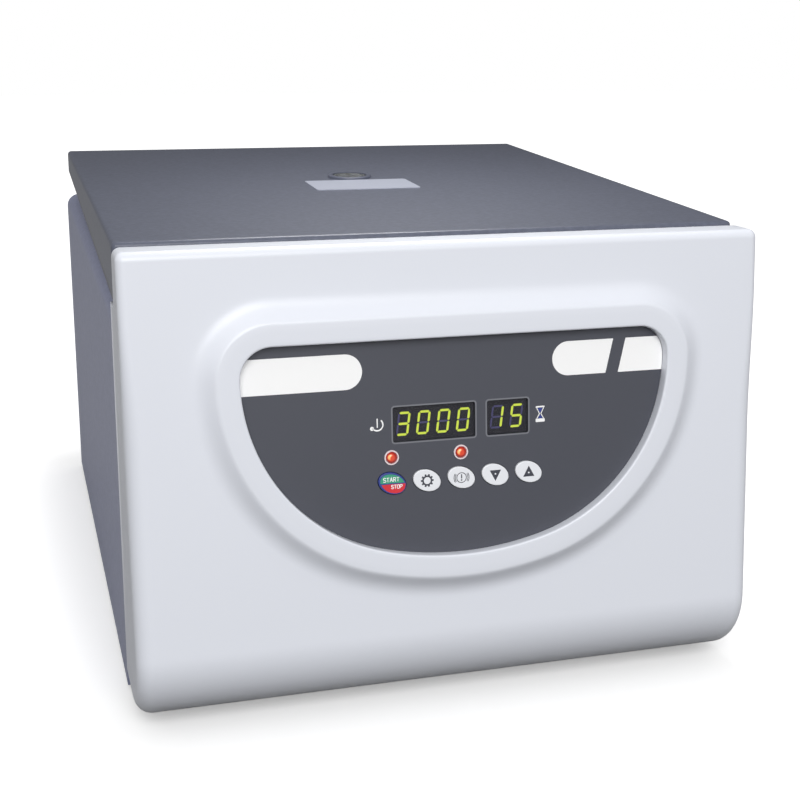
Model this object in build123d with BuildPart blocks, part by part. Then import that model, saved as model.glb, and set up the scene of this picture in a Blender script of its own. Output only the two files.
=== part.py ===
"""Bench centrifuge for milk-fat tubes, as an assembly of its separate pieces.

Millimetres, +Z up, front towards -Y, origin under the middle of the bounding box.
"""
from build123d import *
import os
from math import atan2, cos, pi, radians, sin, sqrt, tan

os.makedirs("parts", exist_ok=True)

# ---------------------------------------------------------------- driving sizes
# Cabinet
sheet = 1.5
wall_bottom = 3.5
guard_side_gap = 13.3
front_strip = 32.2
rear_strip = 28.4
edge_bend_r = 10.0
base_flange_w = 12.0
rear_proud = 3.6
foot_h = 12.0
rail_d = 14.0
rail_h = 40.0
rail_vent_margin = 3.0
foot_r = 14.0
foot_recess_r = 6.0
foot_recess_h = 5.0
foot_inset = 35.8
foot_from_front = 29.2
foot_from_back = 28.4
case_screw_inset = 15.8
case_screw_low = 12.0
case_screw_high = 30.0
seat_gap = 0.3

# Fascia moulding and its raised D-shaped rim
fascia_overhang = 0.2
fascia_top = 295.0
fascia_bottom = 6.0
fascia_wall = 3.5
fascia_depth = 77.8
lip_depth = 57.5
ledge_over_deck = 4.5
face_tilt = 7.72
face_ref_z = 16.1
under_r = 45.0
brow_r = 5.5
fascia_edge_r = 5.0
rim_h = 7.5
rim_flat_w = 14.0
rim_draft_w = 12.0
recess_depth = 1.5
d_half_w = 134.8
d_drop = 64.76
d_bottom_r = 199.5
d_side_r = 112.6
d_corner_r = 18.9
post_r = 5.0
post_inset = 21.0
post_low = 39.0
post_high = 23.0
cable_hole_z = 90.0
cable_hole_w = 60.0
cable_hole_h = 30.0
bulkhead_foot = 12.0
bulkhead_foot_gap = 5.0

# Control panel
overlay_t = 2.0
overlay_gap = 0.25
digit_pitch = 12.7
window_border = 1.5
window_h = 21.6
window_rise = 82.4
speed_window_x = -16.6
time_window_x = 30.6
lens_t = 1.2
window_ledge = 2.0
lamp_rise = 62.7
lamp_r = 3.4
lamp_proud = 0.6
lamp_dome = 2.4
bezel_r = 4.5
bezel_w = 0.8
key_rise = 46.8
key_pitch = 22.0
key_long = 18.0
key_short = 13.0
key_tilt = -22.0
key_gap = 0.4
key_travel = 0.8
key_proud = 1.0
key_stem_r = 2.0
board_w = 132.0
board_h = 76.0
board_t = 1.6
board_depth = 13.5
board_rise = 67.2
board_post_r = 4.5
switch_size = 6.0
switch_h = 3.4
plunger_h = 1.0
plunger_r = 1.7

# Lid
lid_inset = 0.8
lid_t = 1.5
lid_gap = 6.0
lid_depth = 41.5
lid_skirt_front = 34.8
lid_skirt_back = 16.6
lid_edge_r = 4.0
liner_t = 1.2
liner_over_deck = 11.3
liner_inset = 12.0
liner_front = 11.5
liner_back = 4.3
liner_corner_r = 8.0
port_r = 11.0
port_view_r = 7.2
port_flange_r = 13.0
port_flange_t = 1.6
port_ring_r = 16.5
port_ring_t = 2.0
label_w = 78.0
label_l = 43.0
label_t = 0.5
label_gap = 0.5

# Hinges and latch
hinge_inset = 70.8
hinge_from_back = 15.4
hinge_reach = 13.0
hinge_axis_h = 12.5
knuckle_r = 7.0
knuckle_w = 24.0
ear_t = 5.0
side_gap = 0.5
hinge_pin_r = 3.0
pin_head_r = 4.5
pin_head_t = 1.5
running_gap = 0.05
bracket_t = 2.0
bracket_d = 22.0
arm_t = 2.4
arm_w = 34.0
latch_from_bulkhead = 17.0
striker_t = 4.0
striker_w = 16.0
striker_drop = 32.0
slot_gap = 3.0
latch_w = 24.0
latch_l = 50.0
latch_h = 24.0
latch_x = 12.0
bolt_r = 4.0
bolt_drop = 13.0
bolt_tip_gap = 2.0
bolt_travel = 14.0
eye_gap = 1.0

# Chamber, motor and rotor
swing_gap = 18.4
bowl_t = 1.2
bowl_rim_w = 6.0
bowl_fit = 0.8
bowl_floor_z = 71.0
bowl_cone_r = 88.0
bowl_top_r = 64.0
bowl_top_z = 139.0
boot_hole_r = 22.0
boot_lip_w = 4.0
boot_lip_t = 1.4
gasket_w = 5.0
guard_gap = 7.8
guard_t = 3.0
guard_top_gap = 8.5
mount_h = 11.5
mount_r = 10.0
mount_stud_r = 3.0
mount_spread = 55.0
motor_plate_w = 160.0
motor_plate_t = 4.0
motor_r = 56.0
motor_flange_w = 10.0
motor_flange_t = 5.0
motor_top_gap = 2.0
motor_neck_r = 18.0
motor_neck_h = 9.0
motor_clear = 1.0
bearing_r = 14.0
bearing_h = 9.0
shaft_r = 6.0
collar_r = 9.0
collar_h = 2.7
collar_gap = 1.3

tube_count = 8
tube_tilt = 40.0
tube_bore_r = 13.5
tube_wall = 1.2
tube_len = 150.0
tube_flange_r = 17.0
tube_flange_t = 2.0
tube_fit = 0.3
mouth_r = 59.2
tube_floor_gap = 8.0
cushion_t = 4.0
cushion_step = 0.6
head_top_t = 10.0
head_out = 22.0
head_in = 24.0
head_bell_t = 5.0
head_ring_pos = 100.0
head_ring_t = 8.0
hub_r = 20.0
web_t = 10.0
web_lift = 0.7
web_drop = 6.0
nut_r = 13.0
nut_h = 14.0
thread_len = 8.0

# Rear fittings and drive board
inlet_inset = 50.8
fitting_z = 55.0
inlet_w = 50.0
inlet_h = 28.0
socket_w = 27.0
socket_h = 19.5
socket_depth = 16.0
socket_corner = 5.0
inlet_wall = 2.0
blade_w = 4.0
blade_t = 2.0
switch_from_inlet = 50.0
switch_frame_w = 21.0
switch_frame_h = 30.0
switch_frame_t = 2.0
switch_body_d = 18.0
rocker_w = 13.0
rocker_h = 22.0
rocker_throw = 16.0
rocker_depth = 4.0
rocker_proud = 1.6
rocker_dish = 1.4
rocker_gap = 0.5
vent_w = 44.0
vent_h = 4.0
vent_rows = 8
vent_pitch = 10.0
vent_x = 90.0
vent_from_deck = 62.0
vent_gap = 8.0
base_vent_reach = 115.0
drive_w = 60.0
drive_l = 44.0
drive_inset = 45.8
sink_w = 16.0
sink_l = 36.0
sink_h = 26.0
cap_r = 8.0
cap_h = 22.0
cap_pitch = 19.0
cap_from_middle = 14.0
drive_from_bulkhead = 35.0
standoff_h = 6.0
standoff_r = 3.0

screw_r = 2.0
screw_head_r = 4.0
screw_head_h = 2.4
screw_len = 5.5
hole_gap = 0.1

# ---------------------------------------------------------------- derived places
tilt_sin = sin(radians(tube_tilt))
tilt_cos = cos(radians(tube_tilt))
tube_reach = mouth_r + tube_len * tilt_sin
bowl_r = tube_reach + swing_gap
guard_r = bowl_r + bowl_t + guard_gap + guard_t
inner_x = guard_r + guard_side_gap
half_body = inner_x + sheet
body_w = 2 * half_body
fascia_w = body_w + 2 * fascia_overhang
lid_w = body_w - 2 * lid_inset
liner_w = lid_w - 2 * liner_inset
overall_len = fascia_depth + front_strip + 2 * guard_r + rear_strip + rear_proud
front = -overall_len / 2
rear = overall_len / 2
body_rear = rear - rear_proud
fascia_back = front + fascia_depth
cabinet_front = fascia_back + seat_gap
rotor_y = fascia_back + front_strip + guard_r
lid_top = fascia_top
deck_top = lid_top - lid_depth
deck_under = deck_top - sheet
ledge_z = deck_top + ledge_over_deck
liner_bottom = deck_top + liner_over_deck
pan_z = foot_h
floor_z = pan_z + sheet
lid_front = front + lip_depth + lid_gap
hinge_y = body_rear - hinge_from_back
hinge_z = deck_top + hinge_axis_h
lid_back = hinge_y - hinge_reach
lid_len = lid_back - lid_front
hinge_x = half_body - hinge_inset
inlet_x = inlet_inset - half_body
switch_x = inlet_x + switch_from_inlet
vent_z = deck_under - vent_from_deck
drive_x = half_body - drive_inset
latch_y = fascia_back + latch_from_bulkhead
bolt_z = deck_under - bolt_drop
hole_r = screw_r + hole_gap

# The sloping front face: x across, y up the slope, z out of the face.
face_sin = sin(radians(face_tilt))
face_cos = cos(radians(face_tilt))
flat_middle = (fascia_bottom + under_r + fascia_top - brow_r) / 2
d_bottom = (flat_middle - face_ref_z) / face_cos - d_drop
window_row = d_bottom + window_rise
lamp_row = d_bottom + lamp_rise
key_row = d_bottom + key_rise
board_row = d_bottom + board_rise
face_ref_y = front + rim_h * face_cos - (d_bottom - rim_flat_w) * face_sin
face_plane = Plane(
    origin=(0, face_ref_y, face_ref_z),
    x_dir=(1, 0, 0),
    z_dir=(0, -face_cos, face_sin),
)
rear_plane = Plane(origin=(0, body_rear, 0), x_dir=(-1, 0, 0), z_dir=(0, 1, 0))
rotor_plane = Plane(origin=(0, rotor_y, 0), x_dir=(1, 0, 0), z_dir=(0, -1, 0))
rotor_axis = Axis((0, rotor_y, 0), (0, 0, 1))

# Hole and screw places
sides = (-1, 1)
rear_screws = [
    (side * (half_body - case_screw_inset), z)
    for side in sides
    for z in (floor_z + case_screw_low, deck_under - case_screw_high)
]
foot_points = [
    (side * (half_body - foot_inset), y)
    for side in sides
    for y in (fascia_back + foot_from_front, body_rear - foot_from_back)
]
fascia_posts = [
    (side * (fascia_w / 2 - post_inset), z)
    for side in sides
    for z in (fascia_bottom + post_low, ledge_z - post_high)
]
bracket_screws = [
    (side * hinge_x + dx, hinge_y + knuckle_r + 1.0) for side in sides for dx in (-6.0, 6.0)
]
arm_screws = [(side * hinge_x + dx, lid_top - 9.0) for side in sides for dx in (-9.0, 9.0)]
latch_screws = [(latch_x + dx, latch_y) for dx in (10.0, latch_l - 10.0)]
board_points = [
    (dx, board_row + dy)
    for dx in (5.0 - board_w / 2, board_w / 2 - 5.0)
    for dy in (5.0 - board_h / 2, board_h / 2 - 5.0)
]
motor_screw_ring = motor_r + motor_flange_w / 2
mount_points = [
    (dx, rotor_y + dy)
    for dx in (-mount_spread, mount_spread)
    for dy in (-mount_spread, mount_spread)
]
inlet_screws = [(inlet_x + dx, fitting_z) for dx in (-20.0, 20.0)]


def face_y(z, inset=0.0):
    """Y of the sloping face at height z, moved in by inset."""
    return face_ref_y + (z - face_ref_z) * tan(radians(face_tilt)) + inset / face_cos


def save(piece, node):
    """Label a finished builder and write it as its own STEP file."""
    piece.part.label = node
    export_step(piece.part, f"parts/{node}.step")


# ---------------------------------------------------------------- cabinet sheet metal
with BuildPart() as cabinet:
    with BuildSketch(Plane.XZ.offset(-cabinet_front)):
        with Locations((0, (deck_top + wall_bottom) / 2)):
            Rectangle(body_w, deck_top - wall_bottom)
        fillet(vertices().group_by(Axis.Y)[-1], edge_bend_r)
        offset(amount=-sheet, mode=Mode.SUBTRACT)
        with Locations((0, wall_bottom)):
            Rectangle(body_w - 2 * base_flange_w, 4 * sheet, mode=Mode.SUBTRACT)
    extrude(amount=cabinet_front - body_rear)
    with BuildSketch(Plane.XY.offset(deck_under - 1.0)):
        with Locations((0, rotor_y)):
            Circle(bowl_r + bowl_t + bowl_fit)
        with Locations((0, latch_y)):
            Rectangle(striker_t + 2 * slot_gap, striker_w + 2 * slot_gap)
        with Locations(*bracket_screws, *latch_screws):
            Circle(hole_r)
    extrude(amount=2 * sheet + 1.0, mode=Mode.SUBTRACT)
save(cabinet, "cabinet")

panel_w = 2 * (inner_x - seat_gap)
pan_front = cabinet_front
pan_back = body_rear - sheet - seat_gap
pan_mid = (pan_front + pan_back) / 2
pan_len = pan_back - pan_front
pan_edge = wall_bottom + sheet
with BuildPart() as base_pan:
    with BuildSketch(Plane.XY.offset(pan_edge)):
        with Locations((0, pan_mid)):
            Rectangle(panel_w, pan_len)
    extrude(amount=floor_z - pan_edge)
    with BuildSketch(Plane.XY.offset(pan_edge)):
        with Locations((0, pan_mid)):
            Rectangle(panel_w - 2 * sheet, pan_len)
    extrude(amount=pan_z - pan_edge, mode=Mode.SUBTRACT)
    with BuildSketch(Plane.XY.offset(floor_z)):
        with Locations((0, pan_back - sheet / 2)):
            Rectangle(panel_w, sheet)
    extrude(amount=24.0)
    with BuildSketch(Plane.XY.offset(pan_z)):
        with Locations((0, rotor_y - base_vent_reach), (0, rotor_y + base_vent_reach)):
            with GridLocations(vent_w + vent_gap, vent_pitch, 3, 3):
                SlotOverall(vent_w, vent_h)
        with Locations(*foot_points):
            Circle(hole_r)
    extrude(amount=sheet, mode=Mode.SUBTRACT)
    with BuildSketch(rear_plane):
        with Locations(*[(-x, z) for x, z in rear_screws if z < deck_under / 2]):
            Circle(hole_r)
    extrude(amount=-(4 * sheet), mode=Mode.SUBTRACT)
save(base_pan, "base_pan")

with BuildPart() as rear_panel:
    with BuildSketch(rear_plane):
        with Locations((0, (floor_z + deck_under - seat_gap) / 2)):
            Rectangle(panel_w, deck_under - seat_gap - floor_z)
        fillet(vertices().group_by(Axis.Y)[-1], edge_bend_r - sheet)
        for x in (-vent_x, vent_x):
            with Locations((x, vent_z)):
                with GridLocations(vent_w + vent_gap, vent_pitch, 2, vent_rows):
                    SlotOverall(vent_w, vent_h, mode=Mode.SUBTRACT)
        with Locations((-inlet_x, fitting_z)):
            RectangleRounded(
                socket_w + 2 * inlet_wall + 1.0,
                socket_h + 2 * inlet_wall + 1.0,
                socket_corner,
                mode=Mode.SUBTRACT,
            )
        with Locations((-switch_x, fitting_z)):
            Rectangle(rocker_w + 5.0, switch_frame_h - 3.0, mode=Mode.SUBTRACT)
        with Locations(*[(-x, z) for x, z in rear_screws + inlet_screws]):
            Circle(hole_r, mode=Mode.SUBTRACT)
    extrude(amount=-sheet)
save(rear_panel, "rear_panel")

with BuildPart() as rear_rail:
    with BuildSketch(Plane.YZ):
        rail_back = body_rear - sheet - seat_gap
        rail_top = deck_under - seat_gap
        Polygon(
            (rail_back, rail_top),
            (rail_back - rail_d, rail_top),
            (rail_back - rail_d, rail_top - sheet),
            (rail_back - sheet, rail_top - sheet),
            (rail_back - sheet, rail_top - rail_h),
            (rail_back, rail_top - rail_h),
            align=None,
        )
    extrude(amount=inner_x - edge_bend_r, both=True)
    with BuildSketch(rear_plane):
        with Locations(*[(-x, z) for x, z in rear_screws if z > deck_under / 2]):
            Circle(hole_r)
        for x in (-vent_x, vent_x):
            with Locations((x, vent_z)):
                Rectangle(2 * vent_w + vent_gap + 2 * rail_vent_margin, vent_rows * vent_pitch)
    extrude(amount=-(4 * sheet), mode=Mode.SUBTRACT)
    with BuildSketch(Plane.XY.offset(rail_top)):
        with Locations(*bracket_screws):
            Circle(hole_r)
    extrude(amount=-(2 * sheet), mode=Mode.SUBTRACT)
save(rear_rail, "rear_rail")

bulkhead_w = fascia_w - 2 * fascia_wall - 2 * seat_gap
bulkhead_top = ledge_z - fascia_wall - seat_gap
with BuildPart() as front_bulkhead:
    with BuildSketch(Plane.XZ.offset(-fascia_back)):
        with Locations((0, (floor_z + bulkhead_top) / 2)):
            Rectangle(bulkhead_w, bulkhead_top - floor_z)
        with Locations((0, cable_hole_z)):
            RectangleRounded(cable_hole_w, cable_hole_h, 6.0, mode=Mode.SUBTRACT)
        with Locations(*fascia_posts):
            Circle(hole_r, mode=Mode.SUBTRACT)
    extrude(amount=sheet)
    with BuildSketch(Plane.XY.offset(floor_z)):
        with Locations((0, fascia_back + bulkhead_foot / 2)):
            Rectangle(panel_w - 2 * bulkhead_foot_gap, bulkhead_foot)
    extrude(amount=sheet)
save(front_bulkhead, "front_bulkhead")

# ---------------------------------------------------------------- fascia moulding


def fascia_profile(inset, back_gap):
    """Side outline of the moulding moved in by inset, its open back moved out."""
    top = fascia_top - inset
    bottom = fascia_bottom + inset
    back = fascia_back + back_gap
    lip = front + lip_depth - inset
    ledge = ledge_z - inset
    low_r = under_r - inset
    top_r = brow_r - inset
    low = (face_y(bottom + low_r, inset) + low_r / face_cos, bottom + low_r)
    brow = (face_y(top - top_r, inset) + top_r / face_cos, top - top_r)
    low_end = (low[0] - low_r * face_cos, low[1] + low_r * face_sin)
    brow_end = (brow[0] - top_r * face_cos, brow[1] + top_r * face_sin)
    low_mid = radians(225 - face_tilt / 2)
    brow_mid = radians(135 - face_tilt / 2)
    with BuildSketch() as profile:
        with BuildLine():
            Line((back, bottom), (low[0], bottom))
            ThreePointArc(
                (low[0], bottom),
                (low[0] + low_r * cos(low_mid), low[1] + low_r * sin(low_mid)),
                low_end,
            )
            Line(low_end, brow_end)
            ThreePointArc(
                brow_end,
                (brow[0] + top_r * cos(brow_mid), brow[1] + top_r * sin(brow_mid)),
                (brow[0], top),
            )
            Polyline((brow[0], top), (lip, top), (lip, ledge), (back, ledge), (back, bottom))
        make_face()
    return profile.sketch


def d_outline(grow):
    """D shape of the panel: straight top, round corners and a three-arc belly."""
    belly_y = d_bottom + d_bottom_r
    side_x = d_half_w - d_side_r
    side_y = belly_y - sqrt((d_bottom_r - d_side_r) ** 2 - side_x**2)
    turn = atan2(side_y - belly_y, side_x)
    side_r = d_side_r + grow
    corner_x = d_half_w - d_corner_r
    corner_r = d_corner_r + grow
    end_x = d_half_w + grow
    join = (side_x + side_r * cos(turn), side_y + side_r * sin(turn))
    mid = (side_x + side_r * cos(turn / 2), side_y + side_r * sin(turn / 2))
    knee = (corner_x + corner_r * cos(pi / 4), side_y + corner_r * sin(pi / 4))
    with BuildSketch() as outline:
        with BuildLine():
            Line((-corner_x, side_y + corner_r), (corner_x, side_y + corner_r))
            ThreePointArc((corner_x, side_y + corner_r), knee, (end_x, side_y))
            ThreePointArc((end_x, side_y), mid, join)
            ThreePointArc(join, (0, d_bottom - grow), (-join[0], join[1]))
            ThreePointArc((-join[0], join[1]), (-mid[0], mid[1]), (-end_x, side_y))
            ThreePointArc((-end_x, side_y), (-knee[0], knee[1]), (-corner_x, side_y + corner_r))
        make_face()
    return outline.sketch


windows = (
    (speed_window_x, 4 * digit_pitch + window_border, "speed"),
    (time_window_x, 2 * digit_pitch + window_border, "time"),
)
lamp_points = ((-2 * key_pitch, lamp_row, "run"), (0.0, lamp_row, "alarm"))
key_points = [(step * key_pitch, key_row) for step in (-2, -1, 0, 1, 2)]
rim_sections = (
    (-1.0, rim_flat_w + rim_draft_w + 0.5),
    (0.4, rim_flat_w + 0.8 * rim_draft_w),
    (rim_h - 0.7, rim_flat_w + 0.16 * rim_draft_w),
    (rim_h, rim_flat_w),
)

with BuildPart() as fascia:
    with BuildSketch(Plane.YZ):
        add(fascia_profile(0.0, 0.0))
    extrude(amount=fascia_w / 2, both=True)
    ends = fascia.faces().filter_by(Axis.X).edges()
    lip_y = front + lip_depth
    round_edges = [e for e in ends if e.center().Y < lip_y - 0.1 or e.center().Z < 30.0]
    fillet(round_edges, fascia_edge_r)
    for height, grow in rim_sections:
        with BuildSketch(face_plane.offset(height)):
            add(d_outline(grow))
    loft(ruled=True)
    with BuildSketch(Plane.YZ):
        add(fascia_profile(fascia_wall, 1.0))
    extrude(amount=fascia_w / 2 - fascia_wall, both=True, mode=Mode.SUBTRACT)
    with BuildSketch(face_plane.offset(-recess_depth)):
        add(d_outline(0.0))
    extrude(amount=rim_h + recess_depth + 1.0, mode=Mode.SUBTRACT)
    for x, z in fascia_posts:
        post_len = fascia_back - sheet - face_y(z) - fascia_wall / 2
        with Locations(Location((x, fascia_back - sheet - post_len / 2, z), (90, 0, 0))):
            Cylinder(post_r, post_len)
        with Locations(Location((x, fascia_back - sheet - 6.0, z), (90, 0, 0))):
            Cylinder(hole_r, 12.0, mode=Mode.SUBTRACT)
    with BuildSketch(face_plane.offset(-board_depth)):
        with Locations(*board_points):
            Circle(board_post_r)
            Circle(hole_r, mode=Mode.SUBTRACT)
    extrude(amount=board_depth - fascia_wall + 0.5)
    with BuildSketch(face_plane.offset(1.0)):
        for x, width, _ in windows:
            with Locations((x, window_row)):
                Rectangle(width - 2 * window_ledge, window_h - 2 * window_ledge)
        with Locations(*[(x, y) for x, y, _ in lamp_points]):
            Circle(lamp_r + seat_gap)
        with Locations(*key_points):
            Circle(key_stem_r + 1.0)
    extrude(amount=-(fascia_wall + 2.0), mode=Mode.SUBTRACT)
save(fascia, "fascia")

# ---------------------------------------------------------------- control panel
overlay_low = -recess_depth
overlay_top = overlay_low + overlay_t
with BuildPart() as panel_overlay:
    with BuildSketch(face_plane.offset(overlay_low)):
        add(d_outline(-overlay_gap))
        for x, width, _ in windows:
            with Locations((x, window_row)):
                Rectangle(width, window_h, mode=Mode.SUBTRACT)
        with Locations(*[(x, y) for x, y, _ in lamp_points]):
            Circle(bezel_r + hole_gap, mode=Mode.SUBTRACT)
        with Locations(*key_points):
            Ellipse(
                key_long / 2 + key_gap, key_short / 2 + key_gap, rotation=key_tilt, mode=Mode.SUBTRACT
            )
    extrude(amount=overlay_t)
save(panel_overlay, "panel_overlay")

for x, width, name in windows:
    with BuildPart() as window:
        with BuildSketch(face_plane.offset(overlay_low)):
            with Locations((x, window_row)):
                Rectangle(width - 2 * hole_gap, window_h - 2 * hole_gap)
        extrude(amount=lens_t)
    save(window, f"{name}_window")

module_gap = 2 * window_ledge + 2 * seat_gap
with BuildPart() as display_modules:
    with BuildSketch(face_plane.offset(-board_depth)):
        for x, width, _ in windows:
            with Locations((x, window_row)):
                Rectangle(width - module_gap, window_h - module_gap)
    extrude(amount=board_depth + overlay_low - hole_gap)
save(display_modules, "display_modules")

with BuildPart() as control_board:
    with BuildSketch(face_plane.offset(-board_depth)):
        with Locations((0, board_row)):
            RectangleRounded(board_w, board_h, 3.0)
        with Locations(*board_points):
            Circle(hole_r, mode=Mode.SUBTRACT)
    extrude(amount=-board_t)
save(control_board, "control_board")

switch_top = -board_depth + switch_h + plunger_h
with BuildPart() as key_switches:
    with BuildSketch(face_plane.offset(-board_depth)):
        with Locations(*key_points):
            Rectangle(switch_size, switch_size)
    extrude(amount=switch_h)
    with BuildSketch(face_plane.offset(-board_depth)):
        with Locations(*key_points):
            Circle(plunger_r)
    extrude(amount=switch_h + plunger_h)
save(key_switches, "key_switches")

key_low = overlay_low + key_travel + hole_gap
stem_end = switch_top + key_travel + seat_gap
for point, name in zip(key_points, ("start_stop", "settings", "alarm", "down", "up")):
    with BuildPart() as key:
        with BuildSketch(face_plane.offset(key_low)):
            with Locations(point):
                Ellipse(key_long / 2, key_short / 2, rotation=key_tilt)
        extrude(amount=overlay_top + key_proud - key_low)
        crown = key.faces().sort_by(Axis((0, 0, 0), face_plane.z_dir))[-1]
        fillet(crown.edges(), 0.5)
        with BuildSketch(face_plane.offset(stem_end)):
            with Locations(point):
                Circle(key_stem_r)
        extrude(amount=key_low - stem_end)
    save(key, f"key_{name}")

for x, y, name in lamp_points:
    with BuildPart() as lamp:
        with BuildSketch(face_plane.offset(-board_depth)):
            with Locations((x, y)):
                Circle(lamp_r)
        extrude(amount=board_depth + lamp_proud + lamp_dome)
        crown = lamp.faces().sort_by(Axis((0, 0, 0), face_plane.z_dir))[-1]
        fillet(crown.edges(), 0.95 * lamp_dome)
    save(lamp, f"{name}_lamp")

with BuildPart() as lamp_bezels:
    with BuildSketch(face_plane.offset(overlay_low)):
        with Locations(*[(x, y) for x, y, _ in lamp_points]):
            Circle(bezel_r)
            Circle(bezel_r - bezel_w, mode=Mode.SUBTRACT)
    extrude(amount=overlay_t + lamp_proud)
save(lamp_bezels, "lamp_bezels")

# ---------------------------------------------------------------- lid and hinges
skirt_front_z = lid_top - lid_skirt_front
skirt_back_z = lid_top - lid_skirt_back
skirt_slope = (skirt_back_z - skirt_front_z) / lid_len
lens_seat = lid_top + hole_gap


def lid_side(inset, below):
    """Side outline of the lid moved in by inset, with its open edge below."""
    with BuildSketch() as outline:
        Polygon(
            (lid_front + inset, lid_top - inset),
            (lid_front + inset, skirt_front_z - below),
            (lid_back - inset, skirt_back_z - below),
            (lid_back - inset, lid_top - inset),
            align=None,
        )
    return outline.sketch


with BuildPart() as lid_shell:
    with BuildSketch(Plane.YZ):
        add(lid_side(0.0, 0.0))
    extrude(amount=lid_w / 2, both=True)
    fillet(lid_shell.edges().filter_by(Axis.Z) + lid_shell.faces().sort_by(Axis.Z)[-1].edges(), lid_edge_r)
    with BuildPart(mode=Mode.PRIVATE) as lid_core:
        with BuildSketch(Plane.YZ):
            add(lid_side(lid_t, 1.0))
        extrude(amount=lid_w / 2 - lid_t, both=True)
        core_top = lid_core.faces().sort_by(Axis.Z)[-1].edges()
        fillet(lid_core.edges().filter_by(Axis.Z) + core_top, lid_edge_r - lid_t)
    add(lid_core.part, mode=Mode.SUBTRACT)
    with BuildSketch(Plane.XY.offset(lid_top - 2 * lid_t)):
        with Locations((0, rotor_y)):
            Circle(port_r + seat_gap)
    extrude(amount=3 * lid_t, mode=Mode.SUBTRACT)
    with BuildSketch(Plane.XZ.offset(-lid_back)):
        with Locations(*arm_screws):
            Circle(hole_r)
    extrude(amount=lid_t + 1.0, mode=Mode.SUBTRACT)
save(lid_shell, "lid_shell")

liner_len = lid_len - liner_front - liner_back
liner_mid = lid_front + liner_front + liner_len / 2
liner_top = lid_top - lid_t - seat_gap
with BuildPart() as lid_liner:
    with BuildSketch(Plane.XY.offset(liner_bottom)):
        with Locations((0, liner_mid)):
            Rectangle(liner_w, liner_len)
    extrude(amount=liner_top - liner_bottom)
    fillet(lid_liner.edges().filter_by(Axis.Z), liner_corner_r)
    fillet(lid_liner.faces().sort_by(Axis.Z)[0].edges(), liner_corner_r / 2)
    offset(amount=-liner_t, openings=lid_liner.faces().sort_by(Axis.Z)[-1])
    with BuildSketch(Plane.XY.offset(liner_bottom - 1.0)):
        with Locations((0, rotor_y)):
            Circle(port_view_r + seat_gap)
    extrude(amount=3 * liner_t, mode=Mode.SUBTRACT)
save(lid_liner, "lid_liner")

port_step = liner_bottom + liner_t + seat_gap
with BuildPart() as sight_port:
    with Locations((0, rotor_y, liner_bottom)):
        Cylinder(port_view_r, port_step - liner_bottom, align=(Align.CENTER, Align.CENTER, Align.MIN))
    with Locations((0, rotor_y, port_step)):
        Cylinder(port_r, lid_top - port_step, align=(Align.CENTER, Align.CENTER, Align.MIN))
    with Locations((0, rotor_y, lid_top)):
        Cylinder(port_flange_r, port_flange_t, align=(Align.CENTER, Align.CENTER, Align.MIN))
    fillet(sight_port.faces().sort_by(Axis.Z)[-1].edges(), port_flange_t / 2)
save(sight_port, "sight_port")

with BuildPart() as sight_ring:
    with BuildSketch(Plane.XY.offset(lid_top)):
        with Locations((0, rotor_y)):
            Circle(port_ring_r)
            Circle(port_flange_r + hole_gap, mode=Mode.SUBTRACT)
    extrude(amount=port_ring_t)
    fillet(sight_ring.faces().sort_by(Axis.Z)[-1].edges().sort_by(SortBy.LENGTH)[-1], port_ring_t / 2)
save(sight_ring, "sight_ring")

with BuildPart() as lid_label:
    with BuildSketch(Plane.XY.offset(lid_top)):
        with Locations((0, rotor_y - port_ring_r - label_gap - label_l / 2)):
            RectangleRounded(label_w, label_l, 2.0)
    extrude(amount=label_t)
save(lid_label, "lid_label")

with BuildPart() as lid_striker:
    with BuildSketch(Plane.YZ.offset(-striker_t / 2)):
        with Locations((latch_y, liner_bottom - striker_drop / 2)):
            Rectangle(striker_w, striker_drop)
        fillet(vertices().group_by(Axis.Y)[0], 5.0)
        with Locations((latch_y, bolt_z)):
            Rectangle(2 * (bolt_r + eye_gap), 2 * (bolt_r + eye_gap), mode=Mode.SUBTRACT)
    extrude(amount=striker_t)
    with BuildSketch(Plane.XY.offset(liner_bottom)):
        with Locations((0, latch_y)):
            Rectangle(3 * striker_t, striker_w)
    extrude(amount=-2.0)
save(lid_striker, "lid_striker")

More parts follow.
